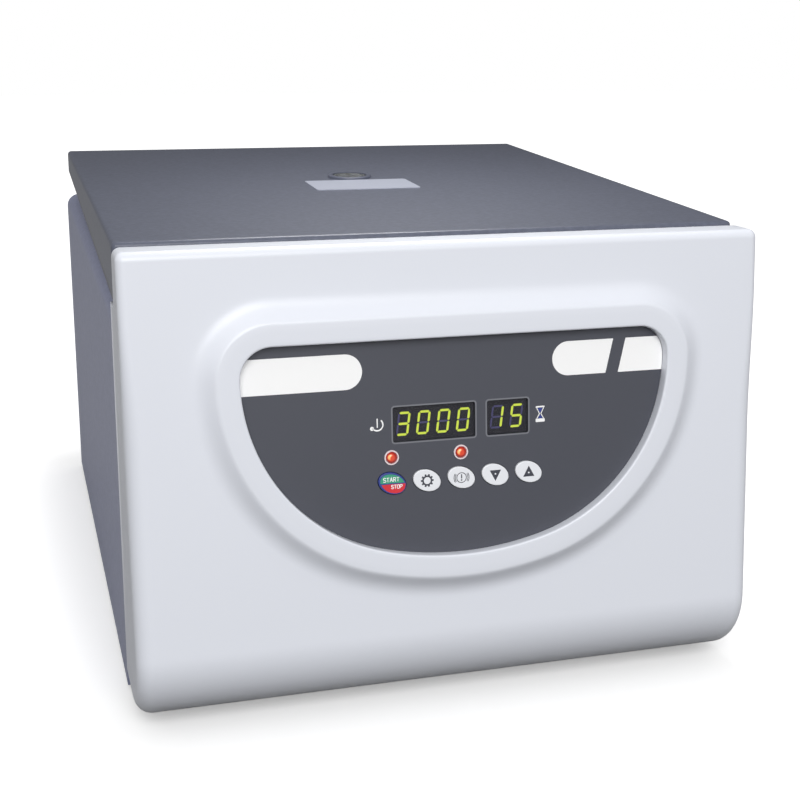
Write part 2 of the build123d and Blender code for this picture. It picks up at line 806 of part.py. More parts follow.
bracket_top = deck_top + bracket_t
ear_inner = knuckle_w / 2
for side, name in ((-1, "left"), (1, "right")):
    mid_x = side * hinge_x
    with BuildPart() as bracket:
        with BuildSketch(Plane.XY.offset(deck_top)):
            with Locations((mid_x, hinge_y + 3.0)):
                Rectangle(knuckle_w + 2 * ear_t, bracket_d)
            with Locations(*[(x, y) for x, y in bracket_screws if x * side > 0]):
                Circle(hole_r, mode=Mode.SUBTRACT)
        extrude(amount=bracket_t)
        for ear_x in (mid_x - ear_inner - ear_t, mid_x + ear_inner):
            with BuildSketch(Plane.YZ.offset(ear_x)):
                with Locations((hinge_y, hinge_z)):
                    Circle(knuckle_r)
                with Locations((hinge_y, (hinge_z + bracket_top) / 2)):
                    Rectangle(2 * knuckle_r, hinge_z - bracket_top)
                with Locations((hinge_y, hinge_z)):
                    Circle(hinge_pin_r + running_gap, mode=Mode.SUBTRACT)
            extrude(amount=ear_t)
    save(bracket, f"hinge_bracket_{name}")

    arm_back = lid_back + arm_t
    with BuildPart() as arm:
        with BuildSketch(Plane.YZ.offset(mid_x)):
            with Locations((hinge_y, hinge_z)):
                Circle(knuckle_r)
            with Locations(((hinge_y + lid_back) / 2, hinge_z + 1.0)):
                Rectangle(hinge_y - lid_back, 6.0)
            with Locations((hinge_y, hinge_z)):
                Circle(hinge_pin_r + running_gap, mode=Mode.SUBTRACT)
        extrude(amount=ear_inner - side_gap, both=True)
        with BuildSketch(Plane.XZ.offset(-lid_back)):
            with Locations((mid_x, (lid_top + hinge_z) / 2 - 3.0)):
                Rectangle(arm_w, lid_top - hinge_z + 2.0)
            with Locations(*[(x, z) for x, z in arm_screws if x * side > 0]):
                Circle(hole_r, mode=Mode.SUBTRACT)
        extrude(amount=-arm_t)
    save(arm, f"hinge_arm_{name}")

with BuildPart() as hinge_pins:
    for side in (-1, 1):
        outer_x = side * hinge_x - ear_inner - ear_t
        pin_len = knuckle_w + 2 * ear_t
        with BuildSketch(Plane.YZ.offset(outer_x)):
            with Locations((hinge_y, hinge_z)):
                Circle(hinge_pin_r)
        extrude(amount=pin_len)
        with BuildSketch(Plane.YZ.offset(outer_x - pin_head_t)):
            with Locations((hinge_y, hinge_z)):
                Circle(pin_head_r)
        extrude(amount=pin_head_t)
        with BuildSketch(Plane.YZ.offset(outer_x + pin_len)):
            with Locations((hinge_y, hinge_z)):
                Circle(pin_head_r)
        extrude(amount=pin_head_t)
save(hinge_pins, "hinge_pins")

with BuildPart() as latch_body:
    with Locations((latch_x + latch_l / 2, latch_y, deck_under - latch_h / 2)):
        Box(latch_l, latch_w, latch_h)
    with BuildSketch(Plane.YZ.offset(latch_x)):
        with Locations((latch_y, bolt_z)):
            Circle(bolt_r + running_gap)
    extrude(amount=latch_l - 4.0, mode=Mode.SUBTRACT)
    with BuildSketch(Plane.XY.offset(deck_under)):
        with Locations(*latch_screws):
            Circle(hole_r)
    extrude(amount=-6.0, mode=Mode.SUBTRACT)
save(latch_body, "latch_body")

bolt_tip = striker_t / 2 + bolt_tip_gap
with BuildPart() as latch_bolt:
    with BuildSketch(Plane.YZ.offset(bolt_tip)):
        with Locations((latch_y, bolt_z)):
            Circle(bolt_r)
    extrude(amount=latch_x - bolt_tip + latch_l - 12.0)
    chamfer(latch_bolt.faces().sort_by(Axis.X)[0].edges(), 1.0)
save(latch_bolt, "latch_bolt")

# ---------------------------------------------------------------- chamber
rim_top = deck_top + bowl_t
with BuildPart() as bowl:
    with BuildSketch(rotor_plane):
        Polygon(
            (bowl_r, rim_top),
            (bowl_r + bowl_t + bowl_rim_w, rim_top),
            (bowl_r + bowl_t + bowl_rim_w, deck_top),
            (bowl_r + bowl_t, deck_top),
            (bowl_r + bowl_t, bowl_floor_z),
            (bowl_cone_r, bowl_floor_z),
            (bowl_top_r, bowl_top_z),
            (boot_hole_r, bowl_top_z),
            (boot_hole_r, bowl_top_z + bowl_t),
            (bowl_top_r + 0.8, bowl_top_z + bowl_t),
            (bowl_cone_r + 0.8, bowl_floor_z + bowl_t),
            (bowl_r, bowl_floor_z + bowl_t),
            align=None,
        )
    revolve(axis=rotor_axis)
save(bowl, "bowl")

gasket_r = bowl_r + bowl_t + bowl_rim_w - gasket_w - seat_gap
with BuildPart() as bowl_gasket:
    with BuildSketch(Plane.XY.offset(rim_top)):
        with Locations((0, rotor_y)):
            Circle(gasket_r + gasket_w)
            Circle(gasket_r, mode=Mode.SUBTRACT)
    extrude(amount=liner_bottom - seat_gap - rim_top)
    fillet(bowl_gasket.faces().sort_by(Axis.Z)[-1].edges(), gasket_w / 3)
save(bowl_gasket, "bowl_gasket")

with BuildPart() as guard_ring:
    with BuildSketch(Plane.XY.offset(floor_z)):
        with Locations((0, rotor_y)):
            Circle(guard_r)
            Circle(guard_r - guard_t, mode=Mode.SUBTRACT)
    extrude(amount=deck_under - guard_top_gap - floor_z)
save(guard_ring, "guard_ring")

motor_top = bowl_top_z - motor_top_gap
boot_r = motor_neck_r + seat_gap
boot_low = bowl_top_z - seat_gap - boot_lip_t
boot_high = bowl_top_z + bowl_t + seat_gap
with BuildPart() as shaft_boot:
    with BuildSketch(rotor_plane):
        Polygon(
            (boot_r, boot_low),
            (boot_hole_r + boot_lip_w, boot_low),
            (boot_hole_r + boot_lip_w, boot_low + boot_lip_t),
            (boot_hole_r - seat_gap, boot_low + boot_lip_t),
            (boot_hole_r - seat_gap, boot_high),
            (boot_hole_r + boot_lip_w, boot_high),
            (boot_hole_r + boot_lip_w, boot_high + boot_lip_t),
            (boot_r, boot_high + boot_lip_t),
            align=None,
        )
    revolve(axis=rotor_axis)
save(shaft_boot, "shaft_boot")

# ---------------------------------------------------------------- motor
plate_z = floor_z + mount_h
motor_z = plate_z + motor_plate_t
neck_top = motor_top + motor_neck_h
motor_screws = [
    (motor_screw_ring * cos(turn), rotor_y + motor_screw_ring * sin(turn))
    for turn in (0.0, pi / 2, pi, 3 * pi / 2)
]
with BuildPart() as motor_mounts:
    for x, y in mount_points:
        with BuildSketch(Plane.XY.offset(floor_z)):
            with Locations((x, y)):
                Circle(mount_r)
        extrude(amount=mount_h)
        with BuildSketch(Plane.XY.offset(plate_z)):
            with Locations((x, y)):
                Circle(mount_stud_r)
        extrude(amount=motor_plate_t + 4.0)
save(motor_mounts, "motor_mounts")

with BuildPart() as motor_plate:
    with BuildSketch(Plane.XY.offset(plate_z)):
        with Locations((0, rotor_y)):
            RectangleRounded(motor_plate_w, motor_plate_w, 8.0)
            Circle(bearing_r - 2.0, mode=Mode.SUBTRACT)
        with Locations(*mount_points):
            Circle(mount_stud_r + hole_gap, mode=Mode.SUBTRACT)
        with Locations(*motor_screws):
            Circle(hole_r, mode=Mode.SUBTRACT)
    extrude(amount=motor_plate_t)
save(motor_plate, "motor_plate")

with BuildPart() as motor_housing:
    with BuildSketch(rotor_plane):
        Polygon(
            (bearing_r, motor_z),
            (motor_r + motor_flange_w, motor_z),
            (motor_r + motor_flange_w, motor_z + motor_flange_t),
            (motor_r, motor_z + motor_flange_t),
            (motor_r, motor_top - 4.0),
            (motor_r - 4.0, motor_top),
            (motor_neck_r, motor_top),
            (motor_neck_r, neck_top),
            (bearing_r, neck_top),
            (bearing_r, neck_top - bearing_h),
            (shaft_r + motor_clear, neck_top - bearing_h),
            (shaft_r + motor_clear, motor_z + bearing_h),
            (bearing_r, motor_z + bearing_h),
            align=None,
        )
    revolve(axis=rotor_axis)
    with BuildSketch(Plane.XY.offset(motor_z)):
        with Locations(*motor_screws):
            Circle(hole_r)
    extrude(amount=motor_flange_t, mode=Mode.SUBTRACT)
save(motor_housing, "motor_housing")

with BuildPart() as motor_bearings:
    for low in (motor_z, neck_top - bearing_h):
        with BuildSketch(Plane.XY.offset(low)):
            with Locations((0, rotor_y)):
                Circle(bearing_r - running_gap)
                Circle(shaft_r + running_gap, mode=Mode.SUBTRACT)
        extrude(amount=bearing_h)
save(motor_bearings, "motor_bearings")

hub_low = neck_top + collar_gap + collar_h
tube_r = tube_bore_r + tube_wall
tube_low = bowl_floor_z + bowl_t + tube_floor_gap + tube_r * tilt_sin
mouth_z = tube_low + tube_len * tilt_cos


def slant(along, out):
    """Radius and height of a point along a tube from its mouth and out from it."""
    return (
        mouth_r + along * tilt_sin + out * tilt_cos,
        mouth_z - along * tilt_cos + out * tilt_sin,
    )


web_top = slant(head_top_t / 2, -head_in)[1] + web_lift
hub_top = web_top + web_drop
with BuildPart() as motor_shaft:
    with BuildSketch(Plane.XY.offset(motor_z + 1.0)):
        with Locations((0, rotor_y)):
            Circle(shaft_r)
    extrude(amount=hub_top + thread_len - motor_z - 1.0)
    with BuildSketch(Plane.XY.offset(neck_top + collar_gap)):
        with Locations((0, rotor_y)):
            Circle(collar_r)
    extrude(amount=collar_h)
save(motor_shaft, "motor_shaft")

# ---------------------------------------------------------------- rotor
socket_r = tube_r + tube_fit
cushion_low = tube_wall - tube_len
cushion_top = cushion_low + cushion_t
cushion_seat_r = tube_bore_r - cushion_step


def tube_plane(number):
    """Plane across the mouth of one tube, its normal pointing out of the mouth."""
    turn = 2 * pi * number / tube_count
    return Plane(
        origin=(mouth_r * cos(turn), rotor_y + mouth_r * sin(turn), mouth_z),
        x_dir=(-sin(turn), cos(turn), 0),
        z_dir=(-tilt_sin * cos(turn), -tilt_sin * sin(turn), tilt_cos),
    )


with BuildPart() as rotor_head:
    with BuildSketch(rotor_plane):
        Polygon(
            slant(0.0, -head_in),
            slant(0.0, head_out),
            slant(head_top_t, head_out),
            slant(head_top_t, head_bell_t - head_in),
            slant(head_ring_pos, head_bell_t - head_in),
            slant(head_ring_pos, head_out),
            slant(head_ring_pos + head_ring_t, head_out),
            slant(head_ring_pos + head_ring_t, -head_in),
            align=None,
        )
        Polygon(
            (shaft_r + running_gap, hub_low),
            (hub_r, hub_low),
            (hub_r, web_top - web_t),
            (slant(head_top_t, head_bell_t - head_in)[0], web_top - web_t),
            (slant(head_top_t / 2, -head_in)[0], web_top),
            (hub_r, web_top),
            (hub_r, hub_top),
            (shaft_r + running_gap, hub_top),
            align=None,
        )
    revolve(axis=rotor_axis)
    for number in range(tube_count):
        with BuildSketch(tube_plane(number)):
            Circle(socket_r)
        extrude(amount=-(head_ring_pos + 3 * head_ring_t), mode=Mode.SUBTRACT)
        with BuildSketch(tube_plane(number)):
            Circle(tube_flange_r + seat_gap)
        extrude(amount=2 * head_top_t, mode=Mode.SUBTRACT)
save(rotor_head, "rotor_head")

for number in range(tube_count):
    mouth = tube_plane(number)
    with BuildPart() as shield:
        with BuildSketch(mouth):
            Circle(tube_r)
        extrude(amount=-tube_len)
        fillet(shield.edges().sort_by(Axis(mouth.origin, -mouth.z_dir))[-1], 3.0)
        with BuildSketch(mouth):
            Circle(tube_flange_r)
        extrude(amount=tube_flange_t)
        with BuildSketch(mouth.offset(tube_flange_t)):
            Circle(tube_bore_r)
        extrude(amount=-(tube_flange_t - cushion_top - seat_gap), mode=Mode.SUBTRACT)
        with BuildSketch(mouth.offset(cushion_low)):
            Circle(cushion_seat_r)
        extrude(amount=cushion_t + 2 * seat_gap, mode=Mode.SUBTRACT)
        with Locations(mouth.offset(cushion_top + seat_gap - cushion_step)):
            Cone(
                cushion_seat_r,
                tube_bore_r,
                cushion_step,
                align=(Align.CENTER, Align.CENTER, Align.MIN),
                mode=Mode.SUBTRACT,
            )
    save(shield, f"tube_shield_{number + 1}")

with BuildPart() as shield_cushions:
    for number in range(tube_count):
        with BuildSketch(tube_plane(number).offset(cushion_low)):
            Circle(cushion_seat_r - seat_gap)
        extrude(amount=cushion_t)
save(shield_cushions, "shield_cushions")

with BuildPart() as rotor_nut:
    with BuildSketch(rotor_plane):
        Polygon(
            (shaft_r + running_gap, hub_top),
            (nut_r, hub_top),
            (nut_r, hub_top + nut_h - 3.0),
            (nut_r - 3.0, hub_top + nut_h),
            (0, hub_top + nut_h),
            (0, hub_top + thread_len + 0.5),
            (shaft_r + running_gap, hub_top + thread_len + 0.5),
            align=None,
        )
    revolve(axis=rotor_axis)
    with BuildSketch(Plane.XY.offset(hub_top + nut_h)):
        with Locations((0, rotor_y)):
            Rectangle(2.0, 2 * nut_r)
    extrude(amount=-2.5, mode=Mode.SUBTRACT)
save(rotor_nut, "rotor_nut")

# ---------------------------------------------------------------- rear fittings
body_w_in = socket_w + 2 * inlet_wall
with BuildPart() as mains_inlet:
    with BuildSketch(rear_plane):
        with Locations((-inlet_x, fitting_z)):
            RectangleRounded(inlet_w, inlet_h, 4.0)
        with Locations(*[(-x, z) for x, z in inlet_screws]):
            Circle(hole_r, mode=Mode.SUBTRACT)
    extrude(amount=rear_proud - screw_head_h)
    with BuildSketch(rear_plane.offset(-socket_depth - 3.0)):
        with Locations((-inlet_x, fitting_z)):
            RectangleRounded(body_w_in, socket_h + 2 * inlet_wall, socket_corner)
    extrude(amount=socket_depth + 3.0 + rear_proud)
    with BuildSketch(rear_plane.offset(rear_proud)):
        with Locations((-inlet_x, fitting_z)):
            RectangleRounded(socket_w, socket_h, socket_corner - inlet_wall)
    extrude(amount=-socket_depth - rear_proud, mode=Mode.SUBTRACT)
    with BuildSketch(rear_plane.offset(-socket_depth)):
        with Locations((-inlet_x, fitting_z + 2.5)):
            Rectangle(blade_t, blade_w)
        with Locations((-inlet_x - 7.0, fitting_z - 2.5), (-inlet_x + 7.0, fitting_z - 2.5)):
            Rectangle(blade_t, blade_w)
    extrude(amount=socket_depth)
    with BuildSketch(rear_plane.offset(-socket_depth - 3.0)):
        with Locations((-inlet_x, fitting_z + 2.5)):
            Rectangle(6.3, 0.8)
        with Locations((-inlet_x - 7.0, fitting_z - 2.5), (-inlet_x + 7.0, fitting_z - 2.5)):
            Rectangle(0.8, 6.3)
    extrude(amount=-8.0)
save(mains_inlet, "mains_inlet")

pivot_y = body_rear - rocker_depth
swing = radians(rocker_throw / 2)
well_h = rocker_h * cos(swing) + 2 * (rocker_depth + rocker_proud) * sin(swing) + 2 * rocker_gap
with BuildPart() as power_switch:
    with BuildSketch(rear_plane):
        with Locations((-switch_x, fitting_z)):
            RectangleRounded(switch_frame_w, switch_frame_h + 4.0, 2.0)
    extrude(amount=switch_frame_t)
    with BuildSketch(rear_plane.offset(-switch_body_d)):
        with Locations((-switch_x, fitting_z)):
            Rectangle(rocker_w + 4.0, switch_frame_h - 4.0)
    extrude(amount=switch_body_d)
    with BuildSketch(rear_plane.offset(switch_frame_t)):
        with Locations((-switch_x, fitting_z)):
            Rectangle(rocker_w + 2 * rocker_gap, well_h)
    extrude(amount=-(switch_frame_t + 2 * rocker_depth + 1.0), mode=Mode.SUBTRACT)
save(power_switch, "power_switch")

with BuildPart() as switch_rocker:
    rest = Plane(origin=(switch_x, pivot_y, fitting_z), x_dir=(0, cos(swing), sin(swing)), z_dir=(1, 0, 0))
    with BuildSketch(rest):
        face_out = rocker_depth + rocker_proud
        Polygon(
            (-1.0, -rocker_h / 2),
            (face_out, -rocker_h / 2),
            (face_out - rocker_dish, 0),
            (face_out, rocker_h / 2),
            (-1.0, rocker_h / 2),
            align=None,
        )
    extrude(amount=rocker_w / 2, both=True)
save(switch_rocker, "switch_rocker")

drive_y = fascia_back + drive_from_bulkhead
with BuildPart() as drive_board:
    with BuildSketch(Plane.XY.offset(floor_z + standoff_h)):
        with Locations((drive_x, drive_y)):
            Rectangle(drive_w, drive_l)
    extrude(amount=board_t)
    with BuildSketch(Plane.XY.offset(floor_z)):
        with Locations((drive_x, drive_y)):
            with GridLocations(drive_w - 10.0, drive_l - 10.0, 2, 2):
                Circle(standoff_r)
    extrude(amount=standoff_h)
    with BuildSketch(Plane.XY.offset(floor_z + standoff_h + board_t)):
        with Locations((drive_x - sink_w, drive_y)):
            Rectangle(sink_w, sink_l)
    extrude(amount=sink_h)
    with BuildSketch(Plane.XY.offset(floor_z + standoff_h + board_t)):
        with Locations((drive_x + cap_from_middle, drive_y)):
            with GridLocations(1.0, cap_pitch, 1, 2):
                Circle(cap_r)
    extrude(amount=cap_h)
save(drive_board, "drive_board")

# ---------------------------------------------------------------- feet and screws
with BuildPart() as feet:
    with BuildSketch():
        with Locations(*foot_points):
            Circle(foot_r)
    extrude(amount=foot_h)
    chamfer(feet.faces().sort_by(Axis.Z)[0:4].edges(), 1.5)
    with BuildSketch():
        with Locations(*foot_points):
            Circle(foot_recess_r)
    extrude(amount=foot_recess_h, mode=Mode.SUBTRACT)
    with BuildSketch():
        with Locations(*foot_points):
            Circle(hole_r)
    extrude(amount=foot_h, mode=Mode.SUBTRACT)
save(feet, "feet")


def screw_planes(plane, points, length=screw_len):
    """Head planes and shank length of a group of screws lying in one plane."""
    return [
        (Plane(plane.from_local_coords((x, y, 0)), x_dir=plane.x_dir, z_dir=plane.z_dir), length)
        for x, y in points
    ]


def screws(places, node):
    """Pan-head screws, each head standing on its plane and its shank below it."""
    with BuildPart() as group:
        for plane, length in places:
            with BuildSketch(plane):
                Circle(screw_head_r)
            extrude(amount=screw_head_h)
            with BuildSketch(plane):
                Circle(screw_r)
            extrude(amount=-length)
            with BuildSketch(plane.offset(screw_head_h)):
                Rectangle(1.0, 2 * screw_head_r)
                Rectangle(2 * screw_head_r, 1.0)
            extrude(amount=-0.9, mode=Mode.SUBTRACT)
    save(group, node)


foot_seat = Plane(origin=(0, 0, foot_recess_h), x_dir=(1, 0, 0), z_dir=(0, 0, -1))
bulkhead_back = Plane(origin=(0, fascia_back, 0), x_dir=(-1, 0, 0), z_dir=(0, 1, 0))
board_back = Plane(
    origin=face_plane.from_local_coords((0, 0, -board_depth - board_t)),
    x_dir=(-1, 0, 0),
    z_dir=-face_plane.z_dir,
)
arm_plane = Plane(origin=(0, lid_back + arm_t, 0), x_dir=(-1, 0, 0), z_dir=(0, 1, 0))
screws(
    screw_planes(foot_seat, [(x, -y) for x, y in foot_points], foot_h)
    + screw_planes(rear_plane, [(-x, z) for x, z in rear_screws])
    + screw_planes(rear_plane.offset(rear_proud - screw_head_h), [(-x, z) for x, z in inlet_screws])
    + screw_planes(Plane.XY.offset(bracket_top), bracket_screws)
    + screw_planes(Plane.XY.offset(deck_top), latch_screws)
    + screw_planes(Plane.XY.offset(motor_z + motor_flange_t), motor_screws)
    + screw_planes(bulkhead_back, [(-x, z) for x, z in fascia_posts])
    + screw_planes(board_back, [(-x, y) for x, y in board_points]),
    "case_screws",
)
screws(screw_planes(arm_plane, [(-x, z) for x, z in arm_screws]), "hinge_screws")
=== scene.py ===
# %% [markdown]
# # Benchtop milk-fat centrifuge: looks
#
# The CAD model is the frame: every piece made here sits on it, in metres, and rides on one of
# its bodies. Most pieces keep their CAD mesh and only get a finish. The front moulding and the
# lid get finer skins, because their soft shoulders and rolled edges are what catches the light.
# Ink, digits and masks are added as thin films. Shapes are worked out in millimetres as whole
# numpy arrays and turned into metres when a mesh is made.

# %% Set-up and the CAD frame
import math

import bpy
import numpy as np
from mathutils import Matrix, Vector


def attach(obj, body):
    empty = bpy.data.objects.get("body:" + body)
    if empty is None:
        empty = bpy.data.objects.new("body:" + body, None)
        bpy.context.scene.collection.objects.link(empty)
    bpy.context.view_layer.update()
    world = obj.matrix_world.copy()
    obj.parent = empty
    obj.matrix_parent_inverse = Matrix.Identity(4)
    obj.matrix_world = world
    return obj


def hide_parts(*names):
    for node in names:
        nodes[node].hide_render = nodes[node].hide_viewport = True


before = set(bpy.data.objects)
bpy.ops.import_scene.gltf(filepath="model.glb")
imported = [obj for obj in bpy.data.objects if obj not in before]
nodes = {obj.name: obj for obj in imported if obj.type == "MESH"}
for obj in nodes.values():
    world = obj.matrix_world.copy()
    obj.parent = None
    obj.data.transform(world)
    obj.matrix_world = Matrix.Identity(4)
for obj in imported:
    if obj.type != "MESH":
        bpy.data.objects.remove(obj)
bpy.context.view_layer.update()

# %% [markdown]
# ## Sizes
#
# X runs to the right, Y to the back and Z up. These are the numbers that several pieces share,
# above all the plane of the sloping front. It lies so far back that the foremost place of the
# raised rim, RIM_REACH below the lowest point of the D, comes to FRONT_Y. They repeat the CAD
# model's driving sizes, because this script reads nothing else from disk.

# %% Shared sizes, in millimetres
QUARTER = 0.5 * math.pi
TOP_Z, FRONT_Y = 295.0, -257.0
TILT = math.radians(7.72)
SIN, COS = math.sin(TILT), math.cos(TILT)
D_LOW, RIM_H, RIM_REACH = 90.8, 7.5, 14.0
FACE_Z = 16.1
FACE_Y = FRONT_Y + RIM_H * COS - (D_LOW - RIM_REACH) * SIN
print("face plane at y", round(FACE_Y, 2), "z", FACE_Z)


# %% [markdown]
# ## Helpers
#
# A colour is written as sRGB hex, the way a paint card gives it, and turned into the linear
# numbers that the renderer adds up. One function adds any shader node, so each finish below
# reads as a short list of nodes. Every material starts from the principled shader, which covers
# paint, plastic, metal and glass alike.

# %% Colour and shader helpers
def linear(code):
    """Linear RGBA of an sRGB hex code: each channel to the power 2.4 above the dark toe."""
    c = np.array([int(code[i : i + 2], 16) / 255 for i in (0, 2, 4)])
    c = np.where(c <= 0.04045, c / 12.92, ((c + 0.055) / 1.055) ** 2.4)
    return (*c.tolist(), 1.0)


def add_node(tree, kind, sockets=None, **settings):
    """One shader node with its settings; each socket named gets a link or a plain value."""
    node = tree.nodes.new(kind)
    for key, value in settings.items():
        setattr(node, key, value)
    for key, given in (sockets or {}).items():
        if isinstance(given, bpy.types.NodeSocket):
            tree.links.new(given, node.inputs[key])
        else:
            node.inputs[key].default_value = given
    return node


def material(name, code, roughness, metallic=0.0, **sockets):
    """A principled material with uniform values on its own sockets, with its tree and shader."""
    made = bpy.data.materials.new(name)
    made.use_nodes = True
    made.diffuse_color = linear(code)
    shader = made.node_tree.nodes["Principled BSDF"]
    values = {"Base Color": linear(code), "Roughness": roughness, "Metallic": metallic}
    values.update({key.replace("_", " "): value for key, value in sockets.items()})
    for key, value in values.items():
        shader.inputs[key].default_value = value
    return made, made.node_tree, shader


# %% [markdown]
# The mesh helpers take whole arrays. A form is mostly a grid of points, with a quad between each
# four neighbours. Where grids share an edge they are welded, so that no seam shows in the
# shading. A skin gets its wall from a Solidify modifier, which works inwards from the true
# outer surface.

# %% Mesh helpers
def mesh_piece(name, points, faces, mat, smooth=True):
    """An object at the origin from points in millimetres and lists of face corners."""
    mesh = bpy.data.meshes.new(name)
    mesh.from_pydata((np.asarray(points, float) / 1000).tolist(), [], [tuple(f) for f in faces])
    mesh.polygons.foreach_set("use_smooth", [smooth] * len(mesh.polygons))
    mesh.materials.append(mat)
    mesh.update()
    made = bpy.data.objects.new(name, mesh)
    bpy.context.scene.collection.objects.link(made)
    return made


def walled_skin(name, points, faces, mat, wall):
    """A smooth skin, sharp where it turns by over 40 degrees, with a wall towards its inside."""
    made = mesh_piece(name, points, faces, mat)
    made.data.set_sharp_from_angle(angle=math.radians(40))
    solid = made.modifiers.new("Solidify", "SOLIDIFY")
    solid.thickness, solid.offset = wall / 1000, -1.0
    return made


def grid_faces(rows, cols, wrap=False):
    """Quads of a rows x cols grid of points, closed along the columns if wrap is set."""
    i, j = np.meshgrid(np.arange(rows - 1), np.arange(cols if wrap else cols - 1), indexing="ij")
    a, b = i * cols + j, i * cols + (j + 1) % cols
    return np.stack([a, a + cols, b + cols, b], axis=-1).reshape(-1, 4).tolist()


def weld(parts, tolerance=0.002):
    """Joins (points, faces) pairs into one, merging points nearer than the tolerance in mm."""
    points = np.concatenate([part[0] for part in parts])
    starts = np.cumsum([0] + [len(part[0]) for part in parts[:-1]])
    faces = [[c + s for c in f] for (_, fs), s in zip(parts, starts) for f in fs]
    key = np.round(points / tolerance).astype(np.int64)
    _, first, back = np.unique(key, axis=0, return_index=True, return_inverse=True)
    back = back.reshape(-1)
    kept = []
    for f in faces:
        f = [int(back[c]) for c in f]
        f = [c for k, c in enumerate(f) if c != f[k - 1]]
        if len(f) > 2:
            kept.append(f)
    return points[first], kept


# %% Places on the sloping face and along closed outlines
def on_face(x, s, h):
    """Point on the sloping front: x across, s up the slope, h out along its normal."""
    x, s, h = np.broadcast_arrays(*[np.asarray(v, float) for v in (x, s, h)])
    return np.stack([x, FACE_Y + s * SIN - h * COS, FACE_Z + s * COS + h * SIN], axis=-1)


def ray_meets(loop, centre, angles):
    """Points and unit normals of a closed loop where rays from the centre meet it.

    Each row of the loop is (x, y, normal x, normal y). The rows are sorted by their polar angle,
    repeated one turn to either side, and read between neighbours.
    """
    polar = np.arctan2(loop[:, 1] - centre[1], loop[:, 0] - centre[0])
    order = np.argsort(polar, kind="stable")
    polar, loop = polar[order], loop[order]
    polar = np.concatenate([polar - 2 * math.pi, polar, polar + 2 * math.pi])
    loop = np.concatenate([loop, loop, loop])
    found = np.stack([np.interp(angles, polar, loop[:, k]) for k in range(4)], -1)
    return found[:, :2], found[:, 2:] / np.linalg.norm(found[:, 2:], axis=1, keepdims=True)


# %% [markdown]
# ## Materials
#
# Each is named by what it is and how it is finished. Patterns are in object space, sized in
# millimetres, so they stay put on every piece. Texture pictures would be the other way, but
# they need unwrapped meshes, and nothing here is more than a paint, a grain or a drawn line.
#
# The case is sheet steel with a hammer finish: the wet enamel draws together into small round
# dimples. Smooth Voronoi cells give those, over a slight mottle of two close tones.

# %% Hammer-finish enamels
DIMPLE_MM, MOTTLE_MM, DIMPLE_DEPTH_MM = 2.6, 3.5, 0.25


def hammertone(name, code_a, code_b, roughness, metallic, **sockets):
    """Enamel whose height is the distance to cell centres and whose tone follows a noise."""
    made, tree, shader = material(name, code_a, roughness, metallic, **sockets)
    spot = add_node(tree, "ShaderNodeTexCoord").outputs["Object"]
    cells = add_node(
        tree,
        "ShaderNodeTexVoronoi",
        {"Vector": spot, "Scale": 1000 / DIMPLE_MM, "Smoothness": 0.8},
        feature="SMOOTH_F1",
    )
    mottle = add_node(
        tree, "ShaderNodeTexNoise", {"Vector": spot, "Scale": 1000 / MOTTLE_MM, "Detail": 3.0}
    )
    tone = add_node(tree, "ShaderNodeValToRGB", {"Fac": mottle.outputs["Fac"]})
    for stop, place, code in zip(tone.color_ramp.elements, (0.35, 0.7), (code_a, code_b)):
        stop.position, stop.color = place, linear(code)
    relief = add_node(
        tree,
        "ShaderNodeBump",
        {"Height": cells.outputs["Distance"], "Strength": 0.35, "Distance": DIMPLE_DEPTH_MM / 1000},
    )
    tree.links.new(tone.outputs["Color"], shader.inputs["Base Color"])
    tree.links.new(relief.outputs["Normal"], shader.inputs["Normal"])
    return made


# Body: slate blue with a trace of metal flake, which greys it where light grazes the walls.
body_paint = hammertone(
    "hammertone_enamel_body", "858aa6", "9398b4", 0.45, 0.1, Coat_Weight=0.15, Coat_Roughness=0.25
)
# Lid: darker and greyer, under a thin gloss that mirrors the room as a soft sheen.
lid_paint = hammertone(
    "hammertone_enamel_lid", "575b69", "5f6372", 0.5, 0.0,
    Specular_IOR_Level=0.25, Coat_Weight=0.3, Coat_Roughness=0.2,
)
print("enamels made")

# %% [markdown]
# Moulded parts carry the faint spark-eroded grain of their tool, and printed films the tooth of
# their stock. The real grain is about 0.1 mm wide, too fine to show, so it is drawn at 0.8 mm.
# Inks are matt and flat. Rubber and sponge are coarser and swallow the light.

# %% Plastics, films and rubber
def smooth_plastic(name, code, roughness, grain_mm=0.8, depth_mm=0.02):
    """Plastic whose height is a fine noise of that grain and depth."""
    made, tree, shader = material(name, code, roughness)
    spot = add_node(tree, "ShaderNodeTexCoord").outputs["Object"]
    grain = add_node(
        tree, "ShaderNodeTexNoise", {"Vector": spot, "Scale": 1000 / grain_mm, "Detail": 2.0}
    )
    relief = add_node(
        tree,
        "ShaderNodeBump",
        {"Height": grain.outputs["Fac"], "Strength": 0.15, "Distance": depth_mm / 1000},
    )
    tree.links.new(relief.outputs["Normal"], shader.inputs["Normal"])
    return made


# Moulded ABS: satin. The pale front shows each bend as a change of tone; keys and rings are
# the same plastic in other colours, a touch glossier where they are small and touched.
fascia_white = smooth_plastic("moulded_abs_pale", "e3e6ee", 0.34)
key_grey = smooth_plastic("moulded_key_grey", "eef0f5", 0.35)
ring_grey = smooth_plastic("moulded_ring_grey", "5c6070", 0.3)
lamp_white = smooth_plastic("lamp_ring_white", "efe2e6", 0.3)
black_plastic = smooth_plastic("moulded_black_plastic", "1d1d20", 0.4)
# Back-printed polyester: a flat dark field with a finer tooth than the moulding round it.
overlay_grey = smooth_plastic("printed_polyester_overlay", "484a53", 0.42, 0.5, 0.01)
label_film = smooth_plastic("bare_label_film", "a9adbb", 0.4)
